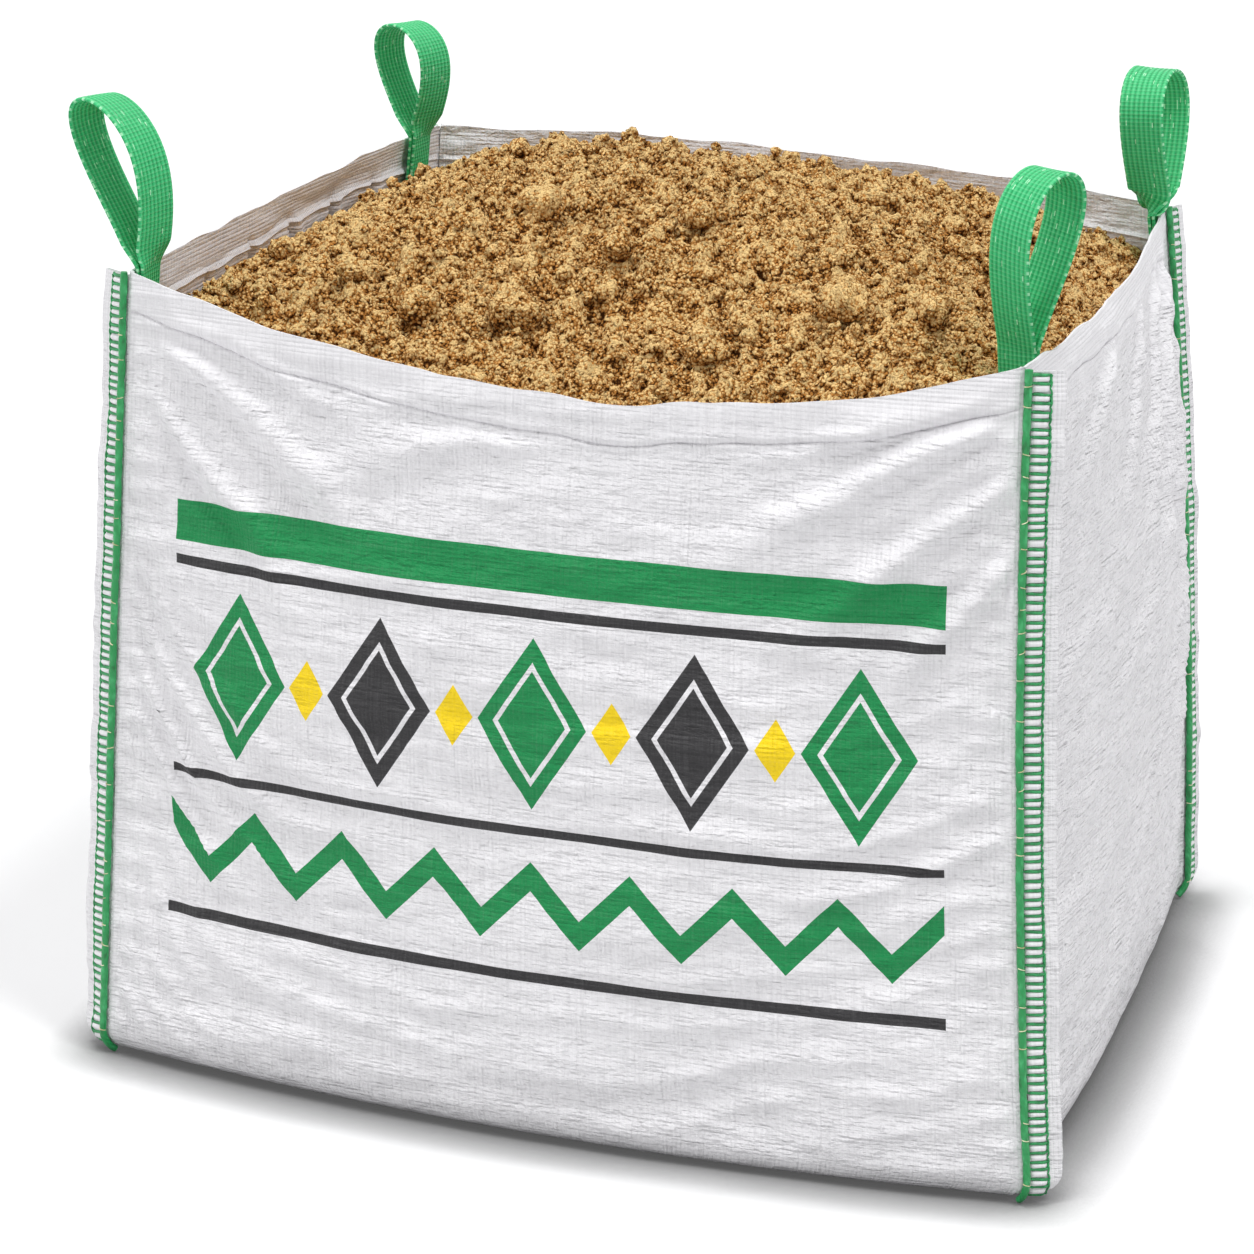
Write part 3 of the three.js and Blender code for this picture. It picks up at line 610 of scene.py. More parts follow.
def seamBinding(name):
    face = corners[name]["face"]
    rungs = ladderHeights(name)
    each = ladderLook["rowsEach"]
    place = np.arange((len(rungs) - 1) * each + 1) / each
    z = np.interp(place, np.arange(len(rungs)), rungs)
    part = place % 1
    inner, outer = seam["ladder"]
    share = np.linspace(0, 1, ladderLook["columns"])
    padded = np.clip((part - (1 - ladderLook["pad"]) / 2) / ladderLook["pad"], 0, 1)
    scallop = ladderLook["scallop"] * np.sin(math.pi * padded) ** 0.6
    across = inner + (outer - 0.001 - inner + scallop[:, None]) * share[None]
    crown = (np.sin(math.pi * padded) ** 0.5)[:, None] * (1 - (2 * share - 1) ** 6)[None] ** 0.5
    lift = 0.0004 + ladderLook["puff"] * crown
    points = seamPoint(name, z[:, None], across, face * (seamFace + lift))
    flat = paired(across, z[:, None])
    if face * corners[name]["out"][0] * corners[name]["out"][1] > 0:
        points, flat = points[:, ::-1], flat[:, ::-1]
    piece = gridPiece("seamBinding." + corners[name]["node"], points, flat)
    applyModifier(piece, "SOLIDIFY", thickness=ladderLook["padCloth"], offset=-1.0)
    tidyMesh(piece, outward=True)
    return settle(piece, 70)


# one thread that runs to and fro over the edge, and one that loops along it
def seamStitch(name):
    face = corners[name]["face"]
    inner, outer = seam["ladder"]
    draw = np.random.RandomState(400 + corners[name]["seam"])
    rungs = ladderHeights(name)
    share = np.linspace(0, 1, 7)
    bow = np.sqrt(np.maximum(1 - (2 * share - 1) ** 6, 0))
    made = []
    for z in rungs:
        across = mix(inner - 0.0008, outer + draw.uniform(0.0004, 0.0016), share)
        slope = draw.uniform(-0.0012, 0.0012)
        high = z + slope * share + 0.0005 * np.sin(math.pi * share * 2)
        lift = seamFace + ladderLook["threadLift"] * bow + 0.0003
        made.append(seamPoint(name, high, across, face * lift))
    chain = np.concatenate([path if k % 2 else path[::-1] for k, path in enumerate(made)])
    up = seamAxes(name)[1] * face
    node = corners[name]["node"]
    piece = threadPiece("seamStitch." + node, chain, ladderLook["threadWide"], ladderLook["threadHigh"], 6,
                        np.tile(up, (len(chain), 1)))
    place = np.arange(4 * (len(rungs) - 1) + 1) / 4
    high = np.interp(place, np.arange(len(rungs)), rungs)
    loopOut = ladderLook["edgeLoop"] * np.abs(np.sin(math.pi * (place + 0.5)))
    line = seamPoint(name, high, outer + 0.0002 + loopOut, face * (seamFace + 0.0012))
    edge = threadPiece("edgeThread", line, ladderLook["edgeWide"], ladderLook["edgeHigh"], 6,
                       np.tile(up, (len(line), 1)))
    piece = joinPieces([piece, edge], piece.name)
    return settle(piece, 80, "seam_stitch_" + node)


# a row of dark thread dashes between the cord and the ladder, whose dark colour also paints the shade of the
# gap there
dashLook = dict(length=0.0062, gap=0.0026, width=0.0017, height=0.0012,
                arch=(-0.0006, 0.0008, 0.0010, 0.0008, -0.0006))


def seamDashes(name):
    face = corners[name]["face"]
    across = seam["ladder"][0] - 0.0007
    step = dashLook["length"] + dashLook["gap"]
    paths = []
    for low in np.arange(seam["foot"] + 0.006, cornerRim(name) - 0.016, step):
        z = low + np.linspace(0, dashLook["length"], 5)
        paths.append(seamPoint(name, z, across, face * (seamFace + np.array(dashLook["arch"]))))
    ups = [np.tile(seamAxes(name)[1] * face, (5, 1))] * len(paths)
    whole = threadSet("seamDashes." + corners[name]["node"], paths, dashLook["width"], dashLook["height"], 5,
                      ups)
    return settle(whole, 80)


seamCords, seamTackPieces, bindings, stitches, dashes = [], [], [], [], []
for name in corners:
    cordMade, pinchesMade = seamCord(name)
    seamCords.append(cordMade)
    seamTackPieces.append(seamTacks(name, pinchesMade))
    bindings.append(seamBinding(name))
    stitches.append(seamStitch(name))
    dashes.append(seamDashes(name))
hemThreads = hemThread()
print("seams sewn")

# lifting loops of ribbed webbing
webbing = dict(width=0.048, thick=0.004, point=1.5, tail=0.19, tailGap=0.0008, leanCurve=1.5, ribs=9,
               ribDepth=0.0007, cup=0.0012, legRows=110, tailRows=44, faceColumns=37)
# each loop's wall and place, its size, its turn between two heights over the rim, and its lean
overRim = dict(turnFrom=0.0005, turnTo=0.025, hinge=0.0)
loops = dict(
    frontLeft=dict(overRim, side="left", inset=0.020, rise=0.162, spread=0.076, turn=-22, lean=-0.050),
    frontRight=dict(side="right", inset=0.095, rise=0.168, spread=0.076, turn=62, turnFrom=-0.07125,
                    turnTo=-0.02375, hinge=0.023, lean=0.020),
    backRight=dict(overRim, side="right", inset=0.032, rise=0.157, spread=0.106, turn=78, lean=-0.008),
    backLeft=dict(overRim, side="left", inset=0.070, rise=0.128, spread=0.076, turn=-22, lean=-0.018),
)


# a loop's place along its wall and the height of the rim there
def loopPlace(name):
    x, y = corners[name]["out"]
    u = x * y * (1 - 2 * loops[name]["inset"] / bag["rimSize"][1])
    return u, float(rimAt(loops[name]["side"], u))


def loopFrame(name, z):
    loop = loops[name]
    u, rim = loopPlace(name)
    clear = bag["cloth"] / 2 + webbing["tailGap"] + webbing["thick"] + bag["sewnGap"] / 2
    low = np.minimum(z, rim)
    place = wallPoint(loop["side"], u, low, clear)
    ahead = wallPoint(loop["side"], u + webbing["width"] / bag["rimSize"][1], low, clear)
    across = unit(ahead - place)
    place[:, 2] = z
    turn = np.radians(loop["turn"]) * smooth(loop["turnFrom"], loop["turnTo"], z - rim)
    offWall = np.stack([-across[:, 1], across[:, 0], 0 * z], -1)
    place = place + offWall * (loop["hinge"] * np.abs(np.sin(turn)))[:, None]
    width = np.stack([across[:, 0] * np.cos(turn) - across[:, 1] * np.sin(turn),
                      across[:, 0] * np.sin(turn) + across[:, 1] * np.cos(turn), 0 * z], -1)
    place[:, 0] += loop["lean"] * (np.maximum(0, z - rim) / loop["rise"]) ** webbing["leanCurve"]
    inward = np.stack([-width[:, 1], width[:, 0], 0 * z], -1)
    return place, width, inward


def liftingLoop(name):
    loop = loops[name]
    u, rim = loopPlace(name)
    legShift = (webbing["thick"] + bag["sewnGap"]) / 2
    drop = lambda angle: np.sin(angle) * np.sin(angle / 2) ** webbing["point"]
    widest = drop(np.linspace(0, math.pi, 181)).max()
    half = (loop["spread"] - webbing["thick"]) / 2 - legShift
    top = loop["rise"] - webbing["thick"] / 2
    angle = np.linspace(0, 2 * math.pi, webbing["legRows"])
    leg = -np.cos(angle / 2) * legShift
    side = np.where(angle <= math.pi, -1, 1)
    legZ = rim + top * (1 - np.cos(angle)) / 2
    legOut = leg + side * half * drop(math.pi - np.abs(math.pi - angle)) / widest
    tailZ = rim - webbing["tail"] * np.linspace(1, 0, webbing["tailRows"])[:-1]
    z = np.concatenate([tailZ, legZ, tailZ[::-1]])
    out = np.concatenate([0 * tailZ - legShift, legOut, 0 * tailZ + legShift])
    place, width, inward = loopFrame(name, z)
    middle = place + inward * out[:, None]
    run = runAlong(middle)
    even = np.linspace(0, run[-1], len(run) + 30)
    middle = np.stack([np.interp(even, run, middle[:, k]) for k in range(3)], -1)
    width = unit(np.stack([np.interp(even, run, width[:, k]) for k in range(3)], -1))
    ahead = unit(np.gradient(middle, axis=0))
    facing = unit(np.cross(ahead, width))
    width = np.cross(facing, ahead)
    share = np.linspace(-1, 1, webbing["faceColumns"])
    ribbing = np.abs(np.cos(webbing["ribs"] * math.pi * share / 2)) ** 0.7
    edge = np.sqrt(np.maximum(1 - np.abs(share) ** 16, 0))
    thick = (webbing["thick"] / 2 - webbing["ribDepth"] * (1 - ribbing)) * edge
    profileAcross = np.concatenate([share, share[::-1], share[:1]]) * webbing["width"] / 2
    profileOff = np.concatenate([thick, -thick[::-1], thick[:1]])
    cup = webbing["cup"] * layeredNoise(even / 0.08, 0 * even, corners[name]["seam"], 2)
    points = (middle[:, None] + width[:, None] * profileAcross[None, :, None]
              + facing[:, None] * (profileOff[None] + cup[:, None]
                                   * (1 - (profileAcross[None] * 2 / webbing["width"]) ** 2))[..., None])
    flat = paired(profileAcross[None], even[:, None])
    ends = [points[:1].mean(1, keepdims=True), points[-1:].mean(1, keepdims=True)]
    count = len(profileAcross)
    points = np.concatenate([np.repeat(ends[0], count, 1), points, np.repeat(ends[1], count, 1)])
    flat = np.concatenate([flat[:1], flat, flat[-1:]])
    piece = gridPiece("liftingLoop." + corners[name]["node"], points, flat)
    tidyMesh(piece, 1e-5, outward=True)
    return settle(piece, 60, "lifting_loop_" + corners[name]["node"])


loopPieces = [liftingLoop(name) for name in corners]
print("loops made")

# the heap of sand
sand = dict(cells=292, clear=0.0065, loadLine=0.0516, peak=(-0.055, 0.065, 0.858), slope=1.9, lump=0.014,
            lumpLength=0.11, seed=11, shadeReach=4, shadeDepth=0.0085, skirt=0.03, foot=0.66, tuckIn=0.99)
# layers of lumps: share of their height, cell, radius, how many are kept, and whether they are shifted about
sandLumps = ((0.72, 0.050, (0.012, 0.024), 0.32, True), (0.80, 0.026, (0.007, 0.013), 0.6, True),
             (0.85, 0.0145, (0.004, 0.0080), 0.75, True), (0.85, 0.0092, (0.0032, 0.0055), 0.8, False))


def heapEdge(s, t):
    reach = np.maximum(np.maximum(np.abs(s), np.abs(t)), 1e-9)
    s, t = np.clip(s / reach, -1, 1), np.clip(t / reach, -1, 1)
    spots = np.zeros(s.shape + (3,))
    for side, pick, u in (("front", t <= -1 + 1e-9, s), ("right", s >= 1 - 1e-9, t),
                          ("back", t >= 1 - 1e-9, -s), ("left", s <= -1 + 1e-9, -t)):
        u = np.clip(u, -0.985, 0.985)
        found = wallPoint(side, u, rimAt(side, u) - sand["loadLine"], sand["clear"])
        spots = np.where(pick[..., None], found, spots)
    return spots, reach


def heapWaves(x, y):
    k = 2 * math.pi / sand["lumpLength"]
    wave = lambda turn, stretch: np.sin(k * stretch * (x * math.cos(turn) + y * math.sin(turn)) + 5 * turn)
    large, small = wave(0.4, 1) * wave(1.9, 1.13), wave(1.1, 1.7) * wave(2.7, 1.9)
    return sand["lump"] / 2 * (large + 0.6 * small + 0.5 * wave(2.3, 0.5))


def sandRoughness(x, y):
    seed = sand["seed"]
    shiftX = x + 0.006 * noise(x / 0.03, y / 0.03, seed + 20)
    shiftY = y + 0.006 * noise(x / 0.03, y / 0.03, seed + 21)
    rough = 0
    for k, (share, cell, radius, keep, shifted) in enumerate(sandLumps):
        spot = (shiftX, shiftY) if shifted else (x, y)
        rough = rough + share * lumps(*spot, cell, radius, keep, seed + k)
    rough = rough + 0.0034 * layeredNoise(x / 0.02, y / 0.02, seed + 5, 3)
    return rough - 0.0115


def heapHeight(spots, share):
    x, y, edgeZ = spots[..., 0], spots[..., 1], spots[..., 2]
    base = mix(sand["peak"][2], edgeZ, share ** sand["slope"])
    return base + heapWaves(x, y) * (1 - share ** 6) + sandRoughness(x, y) * (1 - 0.4 * share ** 12)


def heapPoints(s, t):
    edge, share = heapEdge(s, t)
    peak = np.array(sand["peak"])
    spots = mix(peak, edge, share[..., None])
    spots[..., 2] = edge[..., 2]
    spots[..., 2] = heapHeight(spots, share)
    return spots


# the mean of a field over a square about each of its places
def blurred(field, reach):
    size = 2 * reach + 1
    for axis in (0, 1):
        field = np.pad(field, [(reach + 1, reach) if k == axis else (0, 0) for k in (0, 1)], mode="edge")
        total = np.cumsum(field, axis)
        total = total if axis == 0 else total.T
        field = (total[size:] - total[:-size]) / size
        field = field if axis == 0 else field.T
    return field


# how far a spot stands over its surroundings, 0 in a crevice and 1 on top; the map carries it to the material
# as painted shade, darker in crevices and lighter on tops
def sandHeap():
    line = np.linspace(-1, 1, sand["cells"] + 1)
    s, t = np.meshgrid(line, line)
    points = heapPoints(s, t)
    over = points[..., 2] - blurred(points[..., 2], sand["shadeReach"])
    paintedShading = np.clip(0.5 + over / sand["shadeDepth"] / 2, 0, 1)
    piece = gridPiece("sandHeap", points, paired(paintedShading, 0))
    pickOnly(piece)
    bpy.ops.object.mode_set(mode="EDIT")
    bpy.ops.mesh.select_all(action="DESELECT")
    bpy.ops.mesh.select_mode(type="EDGE")
    bpy.ops.mesh.select_non_manifold()
    for fall in range(2):
        bpy.ops.mesh.extrude_region_move(TRANSFORM_OT_translate=dict(value=(0, 0, -sand["skirt"])))
    bpy.ops.mesh.edge_face_add()  # closes the heap underneath
    bpy.ops.object.mode_set(mode="OBJECT")
    top = (sand["cells"] + 1) ** 2
    co = vertexPlaces(piece.data)
    co[top + 4 * sand["cells"]:, 2] = sand["foot"]
    co[top:, :2] *= sand["tuckIn"]
    piece.data.vertices.foreach_set("co", co.reshape(-1))
    piece.data.update()
    return settle(piece, 75, "sand_load")


# loose grit, crumbs and clods that lie on the heap: rings is the number of rings of a shape
looseSand = dict(
    sandGrit=dict(count=6800, sizes=(0.0016, 0.0036), rings=3, shapes=5, seed=91, rough=0.30, sink=0.30,
                  reach=0.97),
    sandCrumbs=dict(count=2300, sizes=(0.0034, 0.0085), rings=5, shapes=7, seed=31, rough=0.34, sink=0.28,
                    reach=0.955),
    sandClods=dict(count=34, sizes=(0.008, 0.015), rings=24, shapes=6, seed=57, rough=0.26, sink=0.38,
                   reach=0.86),
)
# larger clods at set spots: place across and along the heap, and size
clodSpots = ((-0.158, -0.724, 0.0288), (-0.557, -0.707, 0.0228), (-0.208, -0.358, 0.0204),
             (0.291, -0.757, 0.024), (0.574, -0.674, 0.0216), (0.458, 0.141, 0.018),
             (-0.341, 0.707, 0.0192), (0.524, -0.441, 0.0168), (-0.374, -0.774, 0.018),
             (0.025, -0.524, 0.0192), (-0.657, -0.824, 0.0168), (0.757, -0.691, 0.018),
             (0.175, -0.374, 0.0192), (0.657, 0.008, 0.0156), (-0.524, 0.025, 0.0168))


def crumbShape(name, rings, seed, rough):
    clearSelection()
    bpy.ops.mesh.primitive_uv_sphere_add(segments=rings + 3, ring_count=rings, radius=1)
    shape = bpy.context.object
    shape.name = name
    co = vertexPlaces(shape.data).astype(float)
    bump = layeredNoise(co[:, 0] * 1.6 + co[:, 2] * 0.9, co[:, 1] * 1.6 - co[:, 2] * 1.3, seed, 4)
    co = co * (1 + rough * bump[:, None]) * np.random.RandomState(seed).uniform(0.78, 1.12, 3)
    faces = [list(face.vertices) for face in shape.data.polygons]
    bpy.data.objects.remove(shape)
    return co, faces


def scattered(name, places=()):
    kind = looseSand[name]
    draw = np.random.RandomState(kind["seed"])
    shapes = [crumbShape(name, kind["rings"], kind["seed"] + k, kind["rough"])
              for k in range(kind["shapes"])]
    s, t = draw.uniform(-kind["reach"], kind["reach"], (2, kind["count"]))
    size = mix(kind["sizes"][0], kind["sizes"][1], draw.rand(kind["count"]) ** 2.2)
    if places:
        setS, setT, setSize = np.array(places).T
        s, t = np.concatenate([setS, s]), np.concatenate([setT, t])
        size = np.concatenate([setSize, size])
    spots = heapPoints(s, t)
    points, faces, paintedShading, start = [], [], [], 0
    for k in range(len(size)):
        co, shape = shapes[k % len(shapes)]
        spin, tip = (Matrix.Rotation(draw.uniform(0, 6.28), 3, axis) for axis in "ZX")
        turned = co @ np.array(spin @ tip).T
        points.append(turned * size[k] + spots[k] + (0, 0, size[k] * kind["sink"]))
        # painted light: a crumb's top is lighter and its underside darker, with a random tone for each crumb
        paintedShading.append(np.clip(0.52 + 0.42 * turned[:, 2] + draw.uniform(-0.14, 0.14), 0, 1))
        faces += [[corner + start for corner in face] for face in shape]
        start += len(co)
    clearSelection()
    bpy.ops.mesh.primitive_ico_sphere_add(subdivisions=1, radius=0.01)
    piece = bpy.context.object
    mesh = bpy.data.meshes.new(name)
    mesh.from_pydata(np.concatenate(points).tolist(), [], faces)
    piece.data = mesh
    piece.name = mesh.name = name
    setMap(mesh, mesh.uv_layers.new(name="UVMap"), paired(np.concatenate(paintedShading), 0))
    return settle(piece, 60)


sandPieces = [sandHeap(), scattered("sandGrit"), scattered("sandCrumbs"), scattered("sandClods", clodSpots)]
print("sand heaped")


# materials: a wire is a socket that takes sums
class Wire:
    def __init__(self, finish, socket):
        self.finish = finish
        self.socket = socket


def wireSum(operation, swapped):
    def act(wire, other=0.0):
        first, second = (other, wire) if swapped else (wire, other)
        return wire.finish.math(operation, first, second)
    return act


for sign, operation in (("add", "ADD"), ("sub", "SUBTRACT"), ("mul", "MULTIPLY"), ("truediv", "DIVIDE"),
                        ("lt", "LESS_THAN"), ("gt", "GREATER_THAN"), ("pow", "POWER"), ("abs", "ABSOLUTE")):
    setattr(Wire, "__" + sign + "__", wireSum(operation, False))
for sign, operation in (("radd", "ADD"), ("rsub", "SUBTRACT"), ("rmul", "MULTIPLY")):
    setattr(Wire, "__" + sign + "__", wireSum(operation, True))


class Finish:
    def __init__(self, name, **fixed):
        self.material = bpy.data.materials.new(name)
        self.material.use_nodes = True
        self.tree = self.material.node_tree
        self.shader = self.tree.nodes["Principled BSDF"]
        self.feed(**fixed)

    # any node: its settings first, then the values or links of its sockets
    def node(self, kind, settings=None, inputs=None, out=0):
        made = self.tree.nodes.new("ShaderNode" + kind)
        for key, value in (settings or {}).items():
            setattr(made, key, value)
        for key, value in (inputs or {}).items():
            self.plug(made.inputs[key], value)
        return Wire(self, made.outputs[out])

    def plug(self, socket, value):
        if isinstance(value, Wire):
            self.tree.links.new(value.socket, socket)
        else:
            socket.default_value = value

    def feed(self, **values):
        for key, value in values.items():
            self.plug(self.shader.inputs[key.replace("_", " ")], value)

    def math(self, operation, first, second=0.0):
        return self.node("Math", dict(operation=operation), {0: first, 1: second})

    def rise(self, value, low, high):
        return self.node("MapRange", dict(interpolation_type="SMOOTHSTEP"),
                         {0: value, 1: low, 2: high})

    def paint(self, share, under, over):
        return self.node("Mix", dict(data_type="RGBA"), {0: share, 6: under, 7: over}, 2)

    def mapped(self):
        where = self.node("UVMap", dict(uv_map="UVMap"))
        return [self.node("SeparateXYZ", None, {0: where}, k) for k in (0, 1)]

    def objectSpot(self):
        return self.node("TexCoord", None, None, "Object")

    def spot(self, x, y):
        return self.node("CombineXYZ", None, {0: x, 1: y})

    def grain(self, where, scale, detail=2.0, rough=0.5):
        return self.node("TexNoise", None, {"Vector": where, "Scale": scale, "Detail": detail,
                                            "Roughness": rough})

    def speckle(self, where):
        return self.node("TexWhiteNoise", dict(noise_dimensions="2D"), {"Vector": where})

    def relief(self, height, distance, strength, under=None):
        inputs = {"Height": height, "Distance": distance, "Strength": strength}
        if under is not None:
            inputs["Normal"] = under
        return self.node("Bump", None, inputs)


clothLook = dict(white=(0.85, 0.84, 0.862, 1), grey=(0.75, 0.74, 0.762, 1), tape=0.0042,
                 streak=(9, 420), cloud=7.0, crinkle=(27, 60), calmFrom=0.70, calmTo=0.76, rough=0.44,
                 roughSpan=0.16)
printLook = dict(green=(0.004, 0.235, 0.065, 1), dark=(0.030, 0.029, 0.031, 1), yellow=(0.92, 0.66, 0.004, 1),
                 half=0.39, pitch=0.156, diamonds=0.422, diamond=(0.054, 0.084), outline=(0.62, 0.72),
                 small=(0.019, 0.030), smallHalf=0.345, zigzag=0.246, tooth=(0.0975, 0.052),
                 zigzagHalf=0.0145, greenStripe=(0.548, 0.588),
                 darkStripes=((0.524, 0.534), (0.312, 0.321), (0.166, 0.177)))


# woven tape cloth: a plain weave with uneven tapes
def wovenCloth(name, printed, weaveDepth, crinkleDepth):
    finish = Finish(name, Specular_IOR_Level=0.3)
    x, y = finish.mapped()
    tape = clothLook["tape"]
    warp, weft = (abs(finish.math("SINE", way * (math.pi / tape))) for way in (x, y))
    weave = warp + weft
    long, short = clothLook["streak"]
    weftStreak = finish.grain(finish.spot(x * long, y * short), 1.0, 2.0)
    warpStreak = finish.grain(finish.spot(x * short, y * long), 1.0, 2.0)
    cloudy = finish.grain(finish.spot(x, y), clothLook["cloud"], 4.0)
    streak = weftStreak + warpStreak - 1.0
    shade = finish.rise(streak * 0.9 + cloudy * 0.5, 0.05, 0.62)
    colour = finish.paint(shade, clothLook["grey"], clothLook["white"])
    if printed:
        colour = printedBand(finish, x, y, colour, streak)
    height = weave * 0.55 + streak * 1.2
    across, up = clothLook["crinkle"]
    crinkle = finish.grain(finish.spot(x * across, y * up), 1.0, 4.0, 0.58)
    calm = 1 - finish.rise(y, clothLook["calmFrom"], clothLook["calmTo"]) * 0.8
    creased = finish.relief(crinkle * calm, crinkleDepth, 0.9)
    finish.feed(Base_Color=colour, Roughness=clothLook["rough"] + clothLook["roughSpan"] * cloudy,
                Normal=finish.relief(height, weaveDepth, 0.9, creased))
    return finish.material


# a plain band of stripes, diamonds and a zigzag on the front
def printedBand(finish, x, y, colour, streak):
    within = abs(x) < printLook["half"]
    pitch = printLook["pitch"]

    def stripe(low, high):
        return (y > low) * (y < high) * within

    place = x / pitch + 50.5
    cell = finish.math("FLOOR", place)
    local = (place - cell - 0.5) * pitch
    high = y - printLook["diamonds"]
    diamond = abs(local) / printLook["diamond"][0] + abs(high) / printLook["diamond"][1]
    low, top = printLook["outline"]
    row = (diamond < 1.0) * (1 - (diamond > low) * (diamond < top)) * within
    odd = finish.math("MODULO", cell, 2.0) > 0.5
    between = finish.math("FRACT", place + 0.5) - 0.5
    small = abs(between) * (pitch / printLook["small"][0]) + abs(high) / printLook["small"][1] < 1.0
    small = small * (abs(x) < printLook["smallHalf"])
    length, swing = printLook["tooth"]
    teeth = abs(finish.math("FRACT", x / length + 50.0) - 0.5) * 2
    zigzag = abs(y - printLook["zigzag"] - (teeth - 0.5) * swing) < printLook["zigzagHalf"]
    green = stripe(*printLook["greenStripe"]) + zigzag * within + row * (1 - odd)
    dark = row * odd
    for low, top in printLook["darkStripes"]:
        dark = dark + stripe(low, top)
    worn = finish.math("MINIMUM", 1.0 + 0.10 * streak, 1.0)
    colour = finish.paint(green * worn, colour, printLook["green"])
    colour = finish.paint(dark * worn, colour, printLook["dark"])
    return finish.paint(small * worn, colour, printLook["yellow"])


threadLook = dict(green=(0.035, 0.36, 0.115, 1), deep=(0.013, 0.21, 0.060, 1), plies=2, twist=2600,
                  plyDepth=0.00015)
cordSkin = dict(green=(0.010, 0.265, 0.068, 1), deep=(0.004, 0.14, 0.032, 1), pale=(0.06, 0.44, 0.16, 1),
                strands=5, twist=900, strandDepth=0.00022)


def cordFinish():
    finish = Finish("cordGreen")
    around, along = finish.mapped()
    strand = finish.math("SINE", around * (2 * math.pi * cordSkin["strands"]) + along * cordSkin["twist"])
    patch = finish.grain(finish.spot(around * 2, along * 60), 1.0, 3.0)
    colour = finish.paint(finish.rise(patch, 0.45, 0.75), cordSkin["green"], cordSkin["pale"])
    colour = finish.paint(finish.rise(patch, 0.42, 0.25), colour, cordSkin["deep"])
    finish.feed(Base_Color=colour, Roughness=0.24 + 0.2 * patch,
                Normal=finish.relief(strand, cordSkin["strandDepth"], 0.6))
    return finish.material


def threadFinish(name, low, high, roughness):
    finish = Finish(name, Roughness=roughness)
    around, along = finish.mapped()
    ply = finish.math("SINE", around * (2 * math.pi * threadLook["plies"]) + along * threadLook["twist"])
    patch = finish.grain(finish.objectSpot(), 160.0, 2.0)
    finish.feed(Base_Color=finish.paint(finish.rise(patch, 0.3, 0.7), low, high),
                Normal=finish.relief(ply, threadLook["plyDepth"], 0.6))
    return finish.material


webbingLook = dict(green=(0.045, 0.56, 0.20, 1), deep=(0.015, 0.32, 0.10, 1), fleck=(0.42, 0.84, 0.52, 1),
                   dash=0.0052, crossing=0.0042, edge=(0.0212, 0.0232), tick=0.0105, tickShare=0.28,
                   depth=0.0005)


def webbingFinish():
    finish = Finish("webbingGreen", Specular_IOR_Level=0.28)
    x, y = finish.mapped()
    ribs = webbing["ribs"]
    lane = (x / webbing["width"] + 0.5) * ribs
    groove = abs(finish.math("SINE", lane * math.pi))
    fine = abs(finish.math("SINE", lane * (math.pi * 3)))
    pick = finish.math("FLOOR", lane * 3)
    dash = finish.math("FLOOR", y / webbingLook["dash"] + finish.speckle(finish.spot(pick, 3.0)) * 9)
    chance = finish.speckle(finish.spot(pick + 0.5, dash + 0.5))
    gather = finish.grain(finish.spot(x * 30, y * 22), 1.0, 2.0)
    fleck = (chance + gather * 0.16 > 1.06) * finish.rise(fine, 0.45, 0.9)
    crossing = finish.math("SINE", y * (2 * math.pi / webbingLook["crossing"]))
    # pale crossing lines, and a painted highlight along each rib's crown
    paleLinesAndRibHighlight = finish.rise(crossing, 0.55, 0.95) * 0.15 + finish.rise(groove, 0.8, 1.0) * 0.10
    slub = finish.grain(finish.spot(x * 25, y * 330), 1.0, 2.0)
    edge = finish.rise(abs(x), *webbingLook["edge"])
    tick = (finish.math("FRACT", y / webbingLook["tick"]) < webbingLook["tickShare"]) * edge
    # painted shade: the grooves between the ribs are darker, mixed with the slub's own uneven tone
    shade = finish.rise(groove * 0.6 + slub * 0.7, 0.25, 1.0)
    colour = finish.paint(shade, webbingLook["deep"], webbingLook["green"])
    pale = finish.math("MINIMUM", fleck + tick * 0.8 + paleLinesAndRibHighlight, 1.0)
    colour = finish.paint(pale, colour, webbingLook["fleck"])
    height = groove * 0.8 + fine * 0.35 + crossing * 0.28 + slub * 0.8
    finish.feed(Base_Color=colour, Roughness=0.36 + 0.2 * slub,
                Normal=finish.relief(height, webbingLook["depth"], 0.9))
    return finish.material


sandLook = dict(dark=(0.055, 0.017, 0.002, 1), body=(0.56, 0.242, 0.055, 1), pale=(1.0, 0.70, 0.31, 1),
                damp=9.0, clump=110.0, grit=900.0, grains=330.0, clumpDepth=0.010, grainDepth=0.0034,
                gritDepth=0.0010)


